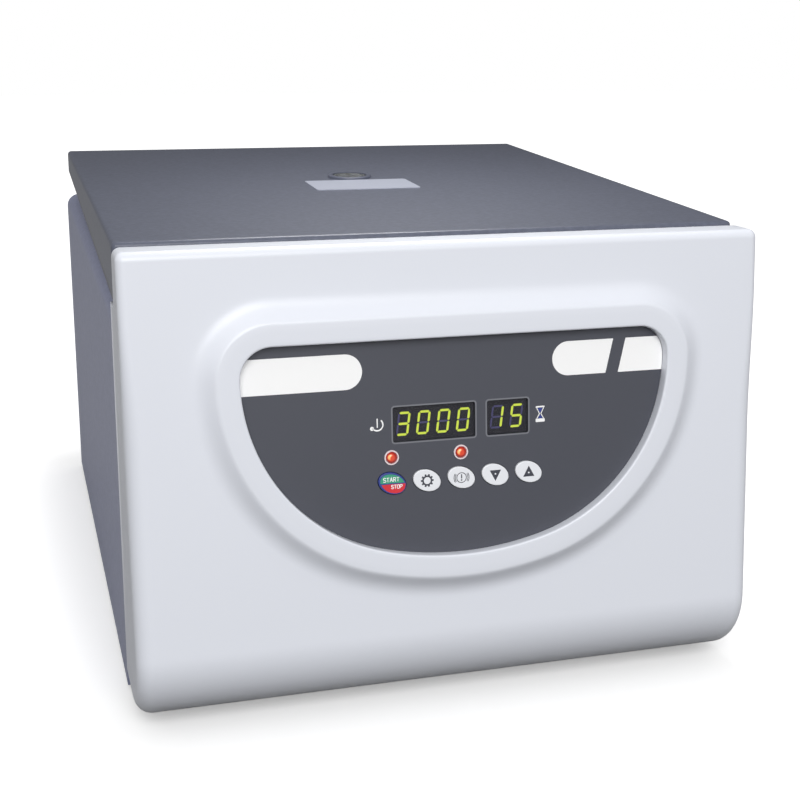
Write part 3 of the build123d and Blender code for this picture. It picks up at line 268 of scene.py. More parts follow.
# Screen inks: solid colour with a crisp edge and no shine of their own.
overlay_line = smooth_plastic("printed_line_grey", "76787f", 0.45)
print_white = smooth_plastic("printed_ink_white", "ffffff", 0.4)
print_dark = smooth_plastic("printed_ink_dark", "3d3f49", 0.45)
print_green = smooth_plastic("printed_ink_green", "3f9d7b", 0.38)
print_red = smooth_plastic("printed_ink_red", "d8323c", 0.38)
print_blue = smooth_plastic("printed_ink_blue", "36448e", 0.38)
# Display: a near-black module, and unlit bars that read as dim violet beside the lit ones.
module_black = smooth_plastic("display_module_black", "2c2c34", 0.5)
segment_off = smooth_plastic("segment_unlit", "605d90", 0.5)
# Rubber feet and mounts are dull black; the sponge gasket is paler and rougher still.
rubber = smooth_plastic("moulded_rubber_black", "232326", 0.75, 1.2, 0.05)
sponge = smooth_plastic("sponge_rubber_gasket", "4a4b52", 0.85, 1.0, 0.15)
# Coated glass-fibre board: even green under a solder mask.
board_green = smooth_plastic("circuit_board_green", "2b6a44", 0.4)
print("plastics made")

# %% [markdown]
# The windows are thin smoked acrylic. Rays through real tinted glass would cost many samples
# and darken the digits, so the window is a faint dark veil with its own gloss. The sight port
# is thick enough to bend light and is true clear acrylic. Lit bars and lamps give off a little
# light of their own: enough to look lit, too little to tint their surroundings. On the lamp
# lenses the glow also carries a painted highlight, golden towards the upper left.

# %% Windows, lit bars and lamps
window_smoke = material(
    "smoked_acrylic_window", "24242b", 0.08, Alpha=0.16, Specular_IOR_Level=0.35
)[0]
clear_acrylic = material(
    "clear_polished_acrylic", "eef3f6", 0.04, Transmission_Weight=0.9, IOR=1.49
)[0]
segment_on, _, lit_shader = material("segment_lit", "c6d64a", 0.5, Emission_Strength=0.9)
lit_shader.inputs["Emission Color"].default_value = linear("c6d64a")
# Direction of the painted highlight on the lamp lenses: up and to the left.
HIGHLIGHT_LEAN = (-0.42, -0.85, 0.32)


def lamp_lens():
    """Dark red lens of a lit lamp whose glow turns golden as its normal turns up and left: a
    painted highlight.
    """
    made, tree, shader = material(
        "lit_lamp_lens_painted_highlight", "94200f", 0.2, Coat_Weight=0.6, Emission_Strength=0.75
    )
    normal = add_node(tree, "ShaderNodeNewGeometry").outputs["Normal"]
    lean = add_node(
        tree, "ShaderNodeVectorMath", {0: normal, 1: HIGHLIGHT_LEAN}, operation="DOT_PRODUCT"
    )
    # The ramp runs from the lamp's dark red glow to a painted golden highlight.
    glow = add_node(tree, "ShaderNodeValToRGB", {"Fac": lean.outputs["Value"]})
    stops = glow.color_ramp.elements
    for stop, place, code in zip(stops, (0.75, 0.98), ("7a150b", "ffe08a")):
        stop.position, stop.color = place, linear(code)
    stops.new(0.9).color = linear("d5461c")
    tree.links.new(glow.outputs["Color"], shader.inputs["Emission Color"])
    return made


lens_red = lamp_lens()
print("windows and lamps made")

# %% [markdown]
# Metals keep the lines of the tool that finished them: long ones on drawn and spun sheet, round
# ones on turned pieces, a plain speckle on plating. A noise squeezed along one axis gives them.
# Drawn lines are about 0.2 mm apart on the real sheet and are widened here to 0.5 mm to show.

# %% Metals
LINE_MM, LINE_DEPTH_MM = 6.0, 0.05


def brushed(name, code, roughness, squeeze=(1.0, 1.0, 12.0), metallic=1.0):
    """Metal whose height is a noise squeezed along each axis, so it runs long along the others."""
    made, tree, shader = material(name, code, roughness, metallic)
    spot = add_node(tree, "ShaderNodeTexCoord").outputs["Object"]
    place = add_node(tree, "ShaderNodeMapping", {"Vector": spot, "Scale": squeeze})
    lines = add_node(
        tree,
        "ShaderNodeTexNoise",
        {"Vector": place.outputs["Vector"], "Scale": 1000 / LINE_MM, "Detail": 3.0},
    )
    relief = add_node(
        tree,
        "ShaderNodeBump",
        {"Height": lines.outputs["Fac"], "Strength": 0.12, "Distance": LINE_DEPTH_MM / 1000},
    )
    tree.links.new(relief.outputs["Normal"], shader.inputs["Normal"])
    return made


# Satin stainless: bright, with rings round the spun bowl.
stainless = brushed("satin_stainless_sheet", "c5c7ca", 0.3)
# Zinc plate: duller and even, as on stamped brackets and pans.
zinc = brushed("zinc_plated_steel", "b4b7bb", 0.38, (1.0, 1.0, 1.0))
# Blackened steel: near-black with a soft metal sheen.
dark_steel = brushed("blackened_steel", "46484c", 0.5, (1.0, 1.0, 1.0), 0.8)
# Turned aluminium: pale, with fine rings from the tool.
aluminium = brushed("machined_aluminium", "bdc0c4", 0.32, (1.0, 1.0, 30.0))
# Lacquered brass: warm, with lines along the drawn tubes.
brass = brushed("drawn_brass_lacquered", "c4a45c", 0.28, (6.0, 6.0, 1.0))
print("metals made")

# %% [markdown]
# ## Finishes on the CAD pieces
#
# Each CAD node keeps its mesh and takes a finish by its name. What is left over is printed, so
# that a forgotten piece shows up at once.

# %% Which CAD node has which material
looks = {
    body_paint: ["cabinet", "rear_panel"],
    zinc: [
        "base_pan", "rear_rail", "front_bulkhead", "lid_striker", "motor_plate",
        "case_screws", "hinge_screws",
    ],
    overlay_grey: ["panel_overlay"],
    window_smoke: ["speed_window", "time_window"],
    module_black: ["display_modules"],
    board_green: ["control_board", "drive_board"],
    black_plastic: ["key_switches", "mains_inlet", "power_switch", "switch_rocker"],
    key_grey: ["key_settings", "key_alarm", "key_down", "key_up"],
    print_blue: ["key_start_stop"],
    lens_red: ["run_lamp", "alarm_lamp"],
    lamp_white: ["lamp_bezels"],
    lid_paint: ["lid_shell"],
    stainless: [
        "lid_liner", "bowl", "hinge_pins", "latch_bolt", "motor_bearings", "motor_shaft",
        "rotor_nut",
    ],
    clear_acrylic: ["sight_port"],
    ring_grey: ["sight_ring"],
    aluminium: ["rotor_head"],
    label_film: ["lid_label"],
    dark_steel: [
        "hinge_bracket_left", "hinge_bracket_right", "hinge_arm_left", "hinge_arm_right",
        "latch_body", "guard_ring", "motor_housing",
    ],
    rubber: ["shaft_boot", "motor_mounts", "shield_cushions", "feet"],
    sponge: ["bowl_gasket"],
    brass: [f"tube_shield_{k}" for k in range(1, 9)],
    fascia_white: ["fascia"],
}
for mat, names in looks.items():
    for name in names:
        for holder in nodes[name].material_slots:
            holder.material = mat
bare = sorted(set(nodes) - {name for names in looks.values() for name in names})
print("nodes with no look:", bare)

# %% [markdown]
# ## Fascia
#
# The front is one moulding: a sloping face that rolls under at the bottom and over at the top,
# where it ends in a lip and a ledge for the lid. Its outer skin is the side profile swept across
# the width. Near each end the profile draws in by a quarter circle, which rounds the upright
# edges, and the circle grows from the lid down to the belly, as on the moulding. A bevelled box
# could not change its radius on the way down; a sweep does so with one number per row.

# %% Side profile of the fascia
HALF_W, BACK_Y, BOTTOM_Z = 201.0, -179.2, 6.0
LIP_Y, LIP_Z, LEDGE_Z = -199.5, 294.3, 258.0
UNDER_R, BROW_R, LIP_R = 45.0, 5.5, 1.2
BACK_ROWS, UNDER_ROWS, FLAT_ROWS, BROW_ROWS, TOP_ROWS, LIP_ROWS = 6, 30, 112, 14, 3, 6
# A straight run keeps this far off the arc beside it, so that its shading stays flat.
RUN_GAP = 0.5
# One more row on the back of the lip and one on the ledge, so that no quad is very long.
LIP_MID_Z, LEDGE_MID_Y = 285.0, -190.0


def section_arc(y, z, r, start, end, count):
    """Arc points (y, z) and the directions from them towards its centre."""
    a = np.linspace(start, end, count)
    way = np.stack([np.cos(a), np.sin(a)], -1)
    return np.array([y, z]) + r * way, -way


def fascia_section():
    """Points (y, z), inward directions, and the rows of the flat face, back bottom to ledge.

    The two arcs of the face are tangent to its plane, so each centre lies one radius behind it.
    """
    slope = math.tan(TILT)
    low_z, brow_z = BOTTOM_Z + UNDER_R, TOP_Z - BROW_R
    low_y = FACE_Y + (low_z - FACE_Z) * slope + UNDER_R / COS
    brow_y = FACE_Y + (brow_z - FACE_Z) * slope + BROW_R / COS
    flat_a = np.array([low_y - UNDER_R * COS, low_z + UNDER_R * SIN])
    flat_b = np.array([brow_y - BROW_R * COS, brow_z + BROW_R * SIN])
    length = np.linalg.norm(flat_b - flat_a)
    steps = np.linspace(RUN_GAP, length - RUN_GAP, FLAT_ROWS) / length
    flat = flat_a + steps[:, None] * (flat_b - flat_a)
    face_turn = math.pi - TILT
    under, under_in = section_arc(low_y, low_z, UNDER_R, 3 * QUARTER, face_turn, UNDER_ROWS)
    brow, brow_in = section_arc(brow_y, brow_z, BROW_R, face_turn, QUARTER, BROW_ROWS)
    lip, _ = section_arc(LIP_Y - LIP_R, LIP_Z - LIP_R, LIP_R, QUARTER, 0.0, LIP_ROWS)
    back_y = np.linspace(BACK_Y, low_y + RUN_GAP, BACK_ROWS)
    back = np.stack([back_y, np.full(BACK_ROWS, BOTTOM_Z)], -1)
    top_y = np.linspace(brow_y + RUN_GAP, LIP_Y - LIP_R, TOP_ROWS)
    top = np.stack([top_y, np.linspace(TOP_Z, LIP_Z, TOP_ROWS)], -1)
    ledge = np.array(
        [[LIP_Y, LIP_MID_Z], [LIP_Y, LEDGE_Z], [LEDGE_MID_Y, LEDGE_Z], [BACK_Y, LEDGE_Z]]
    )
    points = np.concatenate([back, under, flat, brow, top, lip[1:], ledge])
    inward = np.concatenate([
        np.repeat([[0.0, 1.0]], len(back), 0),
        under_in,
        np.repeat([[COS, -SIN]], len(flat), 0),
        brow_in,
        np.repeat([[0.0, -1.0]], len(top) + len(lip) - 1, 0),
        np.repeat([[0.0, 0.0]], len(ledge), 0),
    ])
    first = len(back) + len(under)
    return points, inward, first, first + len(flat) - 1


section, inward, flat_first, flat_last = fascia_section()
print("section rows", len(section), "flat rows", flat_first, "to", flat_last)


# %% [markdown]
# The raised rim runs round a D: a straight top, two corners, two long side arcs and a belly, each
# tangent to the next. Its points are found along rays from a place inside it, so that a ring of
# the rim and the border of the flat face can share the same rays and be joined by plain quads.

# %% D outline, by polar angle round a point inside it
D_HALF, D_BELLY_R, D_SIDE_R, D_CORNER_R = 134.8, 199.5, 112.6, 18.9
BELLY_S, SIDE_X, CORNER_X = D_LOW + D_BELLY_R, D_HALF - D_SIDE_R, D_HALF - D_CORNER_R
SIDE_S = BELLY_S - math.sqrt((D_BELLY_R - D_SIDE_R) ** 2 - SIDE_X**2)
D_CENTRE = (0.0, 160.0)
ARC_STEPS, TOP_STEPS = 900, 400


def d_loop():
    """Points (x, s) of the D and outward normals: three arcs and half the top, then mirrored."""
    turn = math.atan2(SIDE_S - BELLY_S, SIDE_X)
    pieces = []
    for x, s, r, start, end in (
        (0.0, BELLY_S, D_BELLY_R, -QUARTER, turn),
        (SIDE_X, SIDE_S, D_SIDE_R, turn, 0.0),
        (CORNER_X, SIDE_S, D_CORNER_R, 0.0, QUARTER),
    ):
        a = np.linspace(start, end, ARC_STEPS)
        pieces.append(np.stack([x + r * np.cos(a), s + r * np.sin(a), np.cos(a), np.sin(a)], -1))
    top = np.linspace(CORNER_X, 0.0, TOP_STEPS)
    pieces.append(np.stack([top, 0 * top + SIDE_S + D_CORNER_R, 0 * top, 0 * top + 1], -1))
    right = np.concatenate(pieces)
    return np.concatenate([right, right[::-1] * np.array([-1.0, 1.0, -1.0, 1.0])])


print("side arc centre at x", round(SIDE_X, 1), "s", round(SIDE_S, 1))

# %% [markdown]
# Each ring of the rim is the D pushed out by an offset and lifted by a height: recess wall,
# rounded inner lip, plateau, then an S-shaped shoulder that starts crisply and dies away into
# the face. A bevel would give the shoulder one radius; a table of rings can make it fade.

# %% Rings of the rim
RECESS, LIP_ROUND = 1.5, 1.2
SHOULDER = (
    [3.0, RIM_H], [8.0, RIM_H], [12.6, RIM_H], [13.4, 7.4], [14.2, 7.1], [15.2, 6.45],
    [16.4, 5.5], [17.8, 4.35], [19.4, 3.1], [21.2, 1.95], [23.0, 1.05], [25.0, 0.4],
    [27.0, 0.08], [28.6, 0.0],
)


def rim_stations():
    """Offset from the D and height above the face of each ring, from the recess outwards."""
    a = np.linspace(0.0, QUARTER, 6)
    floor = [[-6.0, -RECESS], [-0.3, -RECESS], [0.0, -RECESS + 0.3], [0.0, 1.0], [0.0, 4.0]]
    lip = np.stack([LIP_ROUND * (1 - np.cos(a)), RIM_H - LIP_ROUND + LIP_ROUND * np.sin(a)], -1)
    return np.concatenate([floor, lip, SHOULDER])


stations = rim_stations()
print("rim rings", len(stations))

# %% [markdown]
# Now the skin itself. The sweep covers everything but a window in the flat of the face. The
# rings of the rim fill that window, with a few plain rings that spread from the last of them to
# the window's border. Both ends of the sweep are closed by one flat face each.

# %% Fascia sweep
EDGE_TOP_R, EDGE_LOW_R = 5.0, 10.5
GROW_FROM_Z, GROW_OVER = 262.0, 90.0
EDGE_COLUMNS, MID_COLUMNS, EDGE_STRIP = 11, 181, 0.6


def fascia_sweep():
    """Grid of points (column, row, xyz), and the first and last column of its flat middle.

    The edge radius eases from the upper to the lower value by 3t^2 - 2t^3 going down. At turn a
    of the edge, x is the half width less r(1 - sin a), and the profile draws in by r(1 - cos a).
    """
    turn = np.linspace(0.0, QUARTER, EDGE_COLUMNS)[:, None]
    t = np.clip((GROW_FROM_Z - section[:, 1]) / GROW_OVER, 0.0, 1.0)
    radius = EDGE_TOP_R + (EDGE_LOW_R - EDGE_TOP_R) * t * t * (3 - 2 * t)
    end_x = np.concatenate([HALF_W + radius * (np.sin(turn) - 1), [0 * radius + HALF_W]])
    end_in = np.concatenate([radius * (1 - np.cos(turn)), [radius + EDGE_STRIP]])
    flat_x = HALF_W - EDGE_LOW_R - EDGE_STRIP
    mid_x = np.linspace(-flat_x, flat_x, MID_COLUMNS)[:, None] + 0 * radius
    xs = np.concatenate([-end_x[::-1], mid_x, end_x])
    draw = np.concatenate([end_in[::-1], 0 * mid_x, end_in])
    yz = section[None] + draw[:, :, None] * inward[None]
    return np.concatenate([xs[:, :, None], yz], -1), len(end_x), len(end_x) + len(mid_x) - 1


# %% Fascia skin
FASCIA_WALL = 3.0
SPREAD = (0.1, 0.3, 0.6, 0.9, 1.0)


def fascia_skin():
    """The sweep without its window, welded to the rings between the D and the window."""
    sweep, i0, i1 = fascia_sweep()
    rows, cols = sweep.shape[:2]
    j0, j1 = flat_first + 1, flat_last - 1
    keep = np.ones((rows - 1, cols - 1), bool)
    keep[i0:i1, j0:j1] = False
    faces = np.array(grid_faces(rows, cols)).reshape(rows - 1, cols - 1, 4)[keep].tolist()
    faces.append(list(range(cols)))
    faces.append([(rows - 1) * cols + k for k in range(cols)][::-1])
    border = np.concatenate([
        sweep[i0:i1, j0], sweep[i1, j0:j1], sweep[i1:i0:-1, j1], sweep[i0, j1:j0:-1],
    ])
    border = np.stack([border[:, 0], (border[:, 2] - FACE_Z) / COS], -1)
    angles = np.arctan2(border[:, 1] - D_CENTRE[1], border[:, 0] - D_CENTRE[0])
    base, normal = ray_meets(d_loop(), D_CENTRE, angles)
    rings = [on_face(*(base + off * normal).T, high) for off, high in stations]
    last = base + stations[-1][0] * normal
    for share in SPREAD:
        rings.append(on_face(*(last + share * (border - last)).T, 0.0))
    ring_faces = grid_faces(len(rings), len(border), wrap=True)
    return weld([(sweep.reshape(-1, 3), faces), (np.concatenate(rings), ring_faces)])


fascia = walled_skin("fascia_skin", *fascia_skin(), fascia_white, FASCIA_WALL)
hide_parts("fascia")
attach(fascia, "housing")
print("fascia faces", len(fascia.data.polygons))


# %% [markdown]
# ## Lid
#
# The lid is a folded steel tray with skirts that are deep in front and shallow at the hinges,
# and a round sight port. Its top is filled by rings that run from the edge of the port out to a
# rounded rectangle; the same rays carry on over the rolled edge and down the skirt, whose lower
# edge climbs towards the back. One grid thus makes the whole tray without a seam, which a box
# with a hole cut in it would not.

# %% Lid outline
ROTOR_Y = 39.0
LID_FRONT, LID_BACK, LID_HALF, LID_CORNER = -190.5, 225.0, 200.0, 3.2
LID_MID, LID_HALF_L = 0.5 * (LID_FRONT + LID_BACK), 0.5 * (LID_BACK - LID_FRONT)
FINE, COARSE, RUN_STEPS, SIDE_STEP = 60, 9, 40, 9.0


def lid_corners(count):
    """Points and outward normals of the lid's four corner arcs, anticlockwise."""
    arcs = []
    for k, (sx, sy) in enumerate(((1, 1), (-1, 1), (-1, -1), (1, -1))):
        a = np.linspace(0.0, QUARTER, count) + k * QUARTER
        x = sx * (LID_HALF - LID_CORNER) + LID_CORNER * np.cos(a)
        y = LID_MID + sy * (LID_HALF_L - LID_CORNER) + LID_CORNER * np.sin(a)
        arcs.append(np.stack([x, y, np.cos(a), np.sin(a)], -1))
    return np.concatenate(arcs)


def lid_loop():
    """The whole outline, with RUN_STEPS along each piece of arc and each straight side."""
    loop = lid_corners(FINE)
    ahead = np.roll(loop, -1, axis=0)
    share = np.linspace(0.0, 1.0, RUN_STEPS + 1)[:-1, None]
    return np.concatenate([a + (b - a) * share for a, b in zip(loop, ahead)])


def lid_angles():
    """Angles from the rotor axis, even along each side and packed round the corners."""
    spots = lid_corners(COARSE)[:, :2]
    dense = []
    for a, b in zip(spots, np.roll(spots, -1, axis=0)):
        count = max(1, int(np.linalg.norm(b - a) / SIDE_STEP))
        dense.append(a + (b - a) * np.linspace(0, 1, count + 1)[:-1, None])
    dense = np.concatenate(dense)
    return np.arctan2(dense[:, 1] - ROTOR_Y, dense[:, 0])


print("lid", 2 * LID_HALF, "by", LID_BACK - LID_FRONT, "mm")

# %% Lid skin
PORT_R, LID_EDGE_R, LID_WALL = 11.3, 3.0, 1.5
SKIRT_FRONT, SKIRT_BACK = 260.2, 278.4
EDGE_RINGS, SKIRT_RINGS = 6, 5
TOP_SHARES = (0.0, 0.02, 0.06, 0.15, 0.35, 0.6, 0.8, 0.93, 0.98, 1.0)


def lid_skin():
    """Rings from the port's edge over the rolled edge to the sloping lower edge of the skirt."""
    angles = lid_angles()
    base, normal = ray_meets(lid_loop(), (0.0, ROTOR_Y), angles)
    port = np.stack([PORT_R * np.cos(angles), ROTOR_Y + PORT_R * np.sin(angles)], -1)
    flat = base - LID_EDGE_R * normal
    rings = [(port + share * (flat - port), TOP_Z) for share in TOP_SHARES]
    for a in np.linspace(0.0, QUARTER, EDGE_RINGS + 1)[1:]:
        out, down = LID_EDGE_R * math.sin(a), LID_EDGE_R * (1 - math.cos(a))
        rings.append((flat + out * normal, TOP_Z - down))
    high = TOP_Z - LID_EDGE_R
    back = (base[:, 1] - LID_FRONT) / (LID_BACK - LID_FRONT)
    low = SKIRT_FRONT + back * (SKIRT_BACK - SKIRT_FRONT)
    for share in np.linspace(0.0, 1.0, SKIRT_RINGS + 1)[1:]:
        rings.append((base, high + share * (low - high)))
    points = [np.column_stack([xy, z + 0 * angles]) for xy, z in rings]
    return np.concatenate(points), grid_faces(len(rings), len(angles), wrap=True)


lid = walled_skin("lid_skin", *lid_skin(), lid_paint, LID_WALL)
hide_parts("lid_shell")
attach(lid, "lid")
print("lid faces", len(lid.data.polygons))

# %% [markdown]
# ## Panel graphics
#
# On the real panel these are inks on a film and bars of light behind it. They could be painted
# as a picture, but closed prisms a few hundredths of a millimetre thick stay sharp at any
# distance and carry their own material. A shape is an outline in (x, s), or an (outer, inner)
# pair of outlines for a ring. No words or marks of a maker are drawn.

# %% Flat shape helpers
def circle(x, s, r, start=0.0, end=360.0, count=48, squash=1.0, turn=0.0):
    """Points of an arc in degrees: radius r across, r times squash up, then turned."""
    a = np.radians(np.linspace(start, end, count, endpoint=abs(end - start) < 360))
    u, v = r * np.cos(a), r * squash * np.sin(a)
    c, d = math.cos(math.radians(turn)), math.sin(math.radians(turn))
    return np.stack([x + c * u - d * v, s + d * u + c * v], -1)


def ring(x, s, outer, inner):
    """Plain ring as an outer and an inner outline."""
    return circle(x, s, outer), circle(x, s, inner)


def oblong(x, s, width, height, r):
    """Rounded rectangle, anticlockwise: a quarter circle in each corner."""
    corners = []
    for k, (sx, sy) in enumerate(((1, 1), (-1, 1), (-1, -1), (1, -1))):
        mid = (x + sx * (width / 2 - r), s + sy * (height / 2 - r))
        corners.append(circle(*mid, r, 90 * k, 90 * k + 90, 8))
    return np.concatenate(corners)


def ribbon(path, width):
    """Outline of a line of that width along the path, with mitred turns."""
    path = np.asarray(path, float)
    way = np.diff(path, axis=0)
    way /= np.linalg.norm(way, axis=1, keepdims=True)
    side = np.stack([-way[:, 1], way[:, 0]], -1)
    mitre = np.concatenate([side[:1], side[:-1] + side[1:], side[-1:]])
    mitre /= (mitre * np.concatenate([side[:1], side])).sum(1, keepdims=True)
    left, right = path + mitre * width / 2, path - mitre * width / 2
    return np.concatenate([right, left[::-1]])


# %% Films
OVERLAY_TOP, INK, SUNK = 0.5, 0.06, 0.02


def prism_faces(n, start, hole):
    """Faces of a prism on n corners, or of a tube if a second pair of loops makes a hole.

    The loops lie one after another: outer low, outer high, then inner low and inner high.
    """
    k = np.arange(n)
    ahead = (k + 1) % n
    low, high, low_in, high_in = (start + n * step for step in range(4))
    bands = [(low + k, low + ahead, high + ahead, high + k)]
    if not hole:
        return np.stack(bands[0], -1).tolist() + [(high + k).tolist(), (low + k[::-1]).tolist()]
    bands += [
        (low_in + ahead, low_in + k, high_in + k, high_in + ahead),
        (high + k, high + ahead, high_in + ahead, high_in + k),
        (low + ahead, low + k, low_in + k, low_in + ahead),
    ]
    return np.concatenate([np.stack(band, -1) for band in bands]).tolist()


def film(name, shapes, mat, body, base=OVERLAY_TOP - SUNK, thick=INK):
    """Closed prisms of the shapes on the sloping face, from base to base plus thick."""
    points, faces, start = [], [], 0
    for shape in shapes:
        loops = shape if isinstance(shape, tuple) else (shape,)
        for loop in loops:
            points += [on_face(*loop.T, base), on_face(*loop.T, base + thick)]
        faces += prism_faces(len(loops[0]), start, len(loops) == 2)
        start += 2 * len(loops[0]) * len(loops)
    made = mesh_piece(name, np.concatenate(points), faces, mat, smooth=False)
    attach(made, body)


# %% [markdown]
# Two white tabs run in from the sides of the overlay, each with a round inner end. A slanting
# stripe of the overlay's own grey parts the right one. Their outer ends follow the D, whose
# width at any height comes from the same arcs as the rim. The tabs stay bare.

# %% White tabs
TAB_LOW, TAB_HIGH, TAB_END_LEFT, TAB_END_RIGHT = 196.4, 217.7, -61.0, 60.0
TAB_MID, TAB_R = 0.5 * (TAB_LOW + TAB_HIGH), 0.5 * (TAB_HIGH - TAB_LOW)
STRIPE_FROM, STRIPE_TO, STRIPE_LEAN = 98.2, 106.6, 0.24
OVERLAY_GAP = 0.3


def half_width(s):
    """Half width of the overlay at height s: the side arc below its centre, the corner above."""
    side = SIDE_X + np.sqrt((D_SIDE_R - OVERLAY_GAP) ** 2 - np.minimum(s - SIDE_S, 0) ** 2)
    corner = CORNER_X + np.sqrt((D_CORNER_R - OVERLAY_GAP) ** 2 - np.maximum(s - SIDE_S, 0) ** 2)
    return np.where(s < SIDE_S, side, corner)


tab_s = np.linspace(TAB_LOW, TAB_HIGH, 30)
tab_end = half_width(tab_s)
lean = STRIPE_LEAN * (tab_s - TAB_MID)
left_tab = np.concatenate([
    np.stack([-tab_end, tab_s], -1)[::-1],
    circle(TAB_END_LEFT - TAB_R, TAB_MID, TAB_R, -90, 90, 25),
])
right_tab_in = np.concatenate([
    circle(TAB_END_RIGHT + TAB_R, TAB_MID, TAB_R, 90, 270, 25),
    np.stack([STRIPE_FROM + lean, tab_s], -1),
])
right_tab_out = np.concatenate([
    np.stack([tab_end, tab_s], -1),
    np.stack([STRIPE_TO + lean, tab_s], -1)[::-1],
])
tabs = [left_tab, right_tab_in, right_tab_out]
film("printed_tabs", tabs, print_white, "housing")
print("tabs from s", TAB_LOW, "to", TAB_HIGH)

# %% [markdown]
# The speed and time windows each look down on a row of slanted seven-segment digits. A mask
# hides the module round them, and a thin grey line frames the window on the overlay. A bar is a
# hexagon with pointed tips, as on the real module, and the unlit ones are drawn a little thinner.

# %% Seven-segment digits
DIGIT_W, DIGIT_H, DIGIT_PITCH, DIGIT_SLANT = 7.9, 14.6, 12.7, 0.14
BAR, BAR_UNLIT, BAR_GAP = 1.4, 1.12, 0.18
SEGMENTS = {"0": "abcdef", "1": "bc", "3": "abcdg", "5": "acdfg"}


def bar(x0, s0, x1, s1, width):
    """Pointed bar between two places: a hexagon whose tips lie on them, anticlockwise."""
    tip = np.array([x1 - x0, s1 - s0])
    tip = tip / np.linalg.norm(tip) * width / 2
    side = np.array([-tip[1], tip[0]])
    a, b = np.array([x0, s0]), np.array([x1, s1])
    return np.array([a, a + tip - side, b - tip - side, b, b - tip + side, a + tip + side])


def digit(mark, x, s):
    """Lit and unlit bars of one digit centred on (x, s), each leaning by its height."""
    w, h, gap = 0.5 * (DIGIT_W - BAR), 0.5 * (DIGIT_H - BAR), BAR_GAP
    places = {
        "a": (-w + gap, h, w - gap, h),
        "g": (-w + gap, 0, w - gap, 0),
        "d": (-w + gap, -h, w - gap, -h),
        "f": (-w, h - gap, -w, gap),
        "b": (w, h - gap, w, gap),
        "e": (-w, -gap, -w, gap - h),
        "c": (w, -gap, w, gap - h),
    }
    lit, unlit = [], []
    for name, ends in places.items():
        on = name in SEGMENTS[mark]
        shape = bar(*ends, BAR if on else BAR_UNLIT)
        shape = shape + [x, s] + np.stack([DIGIT_SLANT * shape[:, 1], 0 * shape[:, 1]], -1)
        (lit if on else unlit).append(shape)
    return lit, unlit


# %% Display windows
WINDOW_S, WINDOW_H, WINDOW_PAD = 173.2, 21.6, 1.5
LINE_OUT, LINE_R, WINDOW_R, MASK_IN, MASK_HOLE_IN, MASK_R = 1.9, 2.2, 1.3, 0.3, 5.4, 0.3
MODULE_TOP, MODULE_FILM, UNLIT_FILM, BARS_SUNK = -1.6, 0.05, 0.04, 0.01


def window_loops(x, width, out, r, hole_out, hole_r):
    """A frame round a window: its rectangle grown by out, and a hole grown by hole_out."""
    outer = oblong(x, WINDOW_S, width + out, WINDOW_H + out, r)
    return outer, oblong(x, WINDOW_S, width + hole_out, WINDOW_H + hole_out, hole_r)


for name, x, marks in (("speed", -16.6, "3000"), ("time", 30.6, "15")):
    width = len(marks) * DIGIT_PITCH + WINDOW_PAD
    line = window_loops(x, width, LINE_OUT, LINE_R, 0.0, WINDOW_R)
    film(f"{name}_border_line", [line], overlay_line, "housing")
    mask = window_loops(x, width, -MASK_IN, MASK_R, -MASK_HOLE_IN, MASK_R)
    film(f"{name}_mask", [mask], module_black, "housing", MODULE_TOP, MODULE_FILM)
    lit, unlit = [], []
    for k, mark in enumerate(marks):
        on, off = digit(mark, x + (k - 0.5 * (len(marks) - 1)) * DIGIT_PITCH, WINDOW_S)
        lit, unlit = lit + on, unlit + off
    base = MODULE_TOP - BARS_SUNK
    film(f"{name}_bars_lit", lit, segment_on, "housing", base, MODULE_FILM)
    film(f"{name}_bars_dark", unlit, segment_off, "housing", base, UNLIT_FILM)
print("digits made")

# %% [markdown]
# Beside the windows stand two small marks: a turning arrow reduced to an arc, a dot and a
# stroke for the speed, and an hourglass for the time. Lines are ribbons of constant width,
# which is how a panel draughtsman draws them.

# %% Small marks beside the windows
SPIN_X, SPIN_S = -52.4, 174.0
spin_mark = [
    ribbon(circle(SPIN_X, SPIN_S, 3.5, 214, 410, 40), 0.85),
    circle(SPIN_X - 3.3, SPIN_S - 2.1, 1.25),
    ribbon([(SPIN_X, SPIN_S + 3.9), (SPIN_X, SPIN_S - 1.7)], 0.7),
]
film("spin_mark", spin_mark, print_white, "housing")

GLASS = np.array([52.0, 173.4])
GLASS_SIDE = np.array([(2.4, 4.2), (0.5, 0.2), (2.4, -3.2)])
hourglass = [
    oblong(GLASS[0], GLASS[1] + 4.55, 6.0, 0.9, 0.4),
    oblong(GLASS[0], GLASS[1] - 3.95, 6.0, 2.1, 0.4),
    *[ribbon(GLASS + GLASS_SIDE * [side, 1], 0.5) for side in (-1, 1)],
]
film("hourglass_white", hourglass, print_white, "housing")
sand = [
    GLASS + [(-1.7, 3.8), (0.0, 0.6), (1.7, 3.8)],
    GLASS + [(-1.6, -2.8), (1.6, -2.8), (0.0, -0.2)],
]
film("hourglass_blue", sand, print_blue, "housing", thick=0.05)
print("marks made")

# %% [markdown]
# The five keys are tilted ovals with a print on the flat of each. A print rides on its own key
# and goes in with it. The first key is blue with a green upper and a red lower half, and the
# words START and STOP; the others carry a toothed wheel, an alarm mark and two triangles.

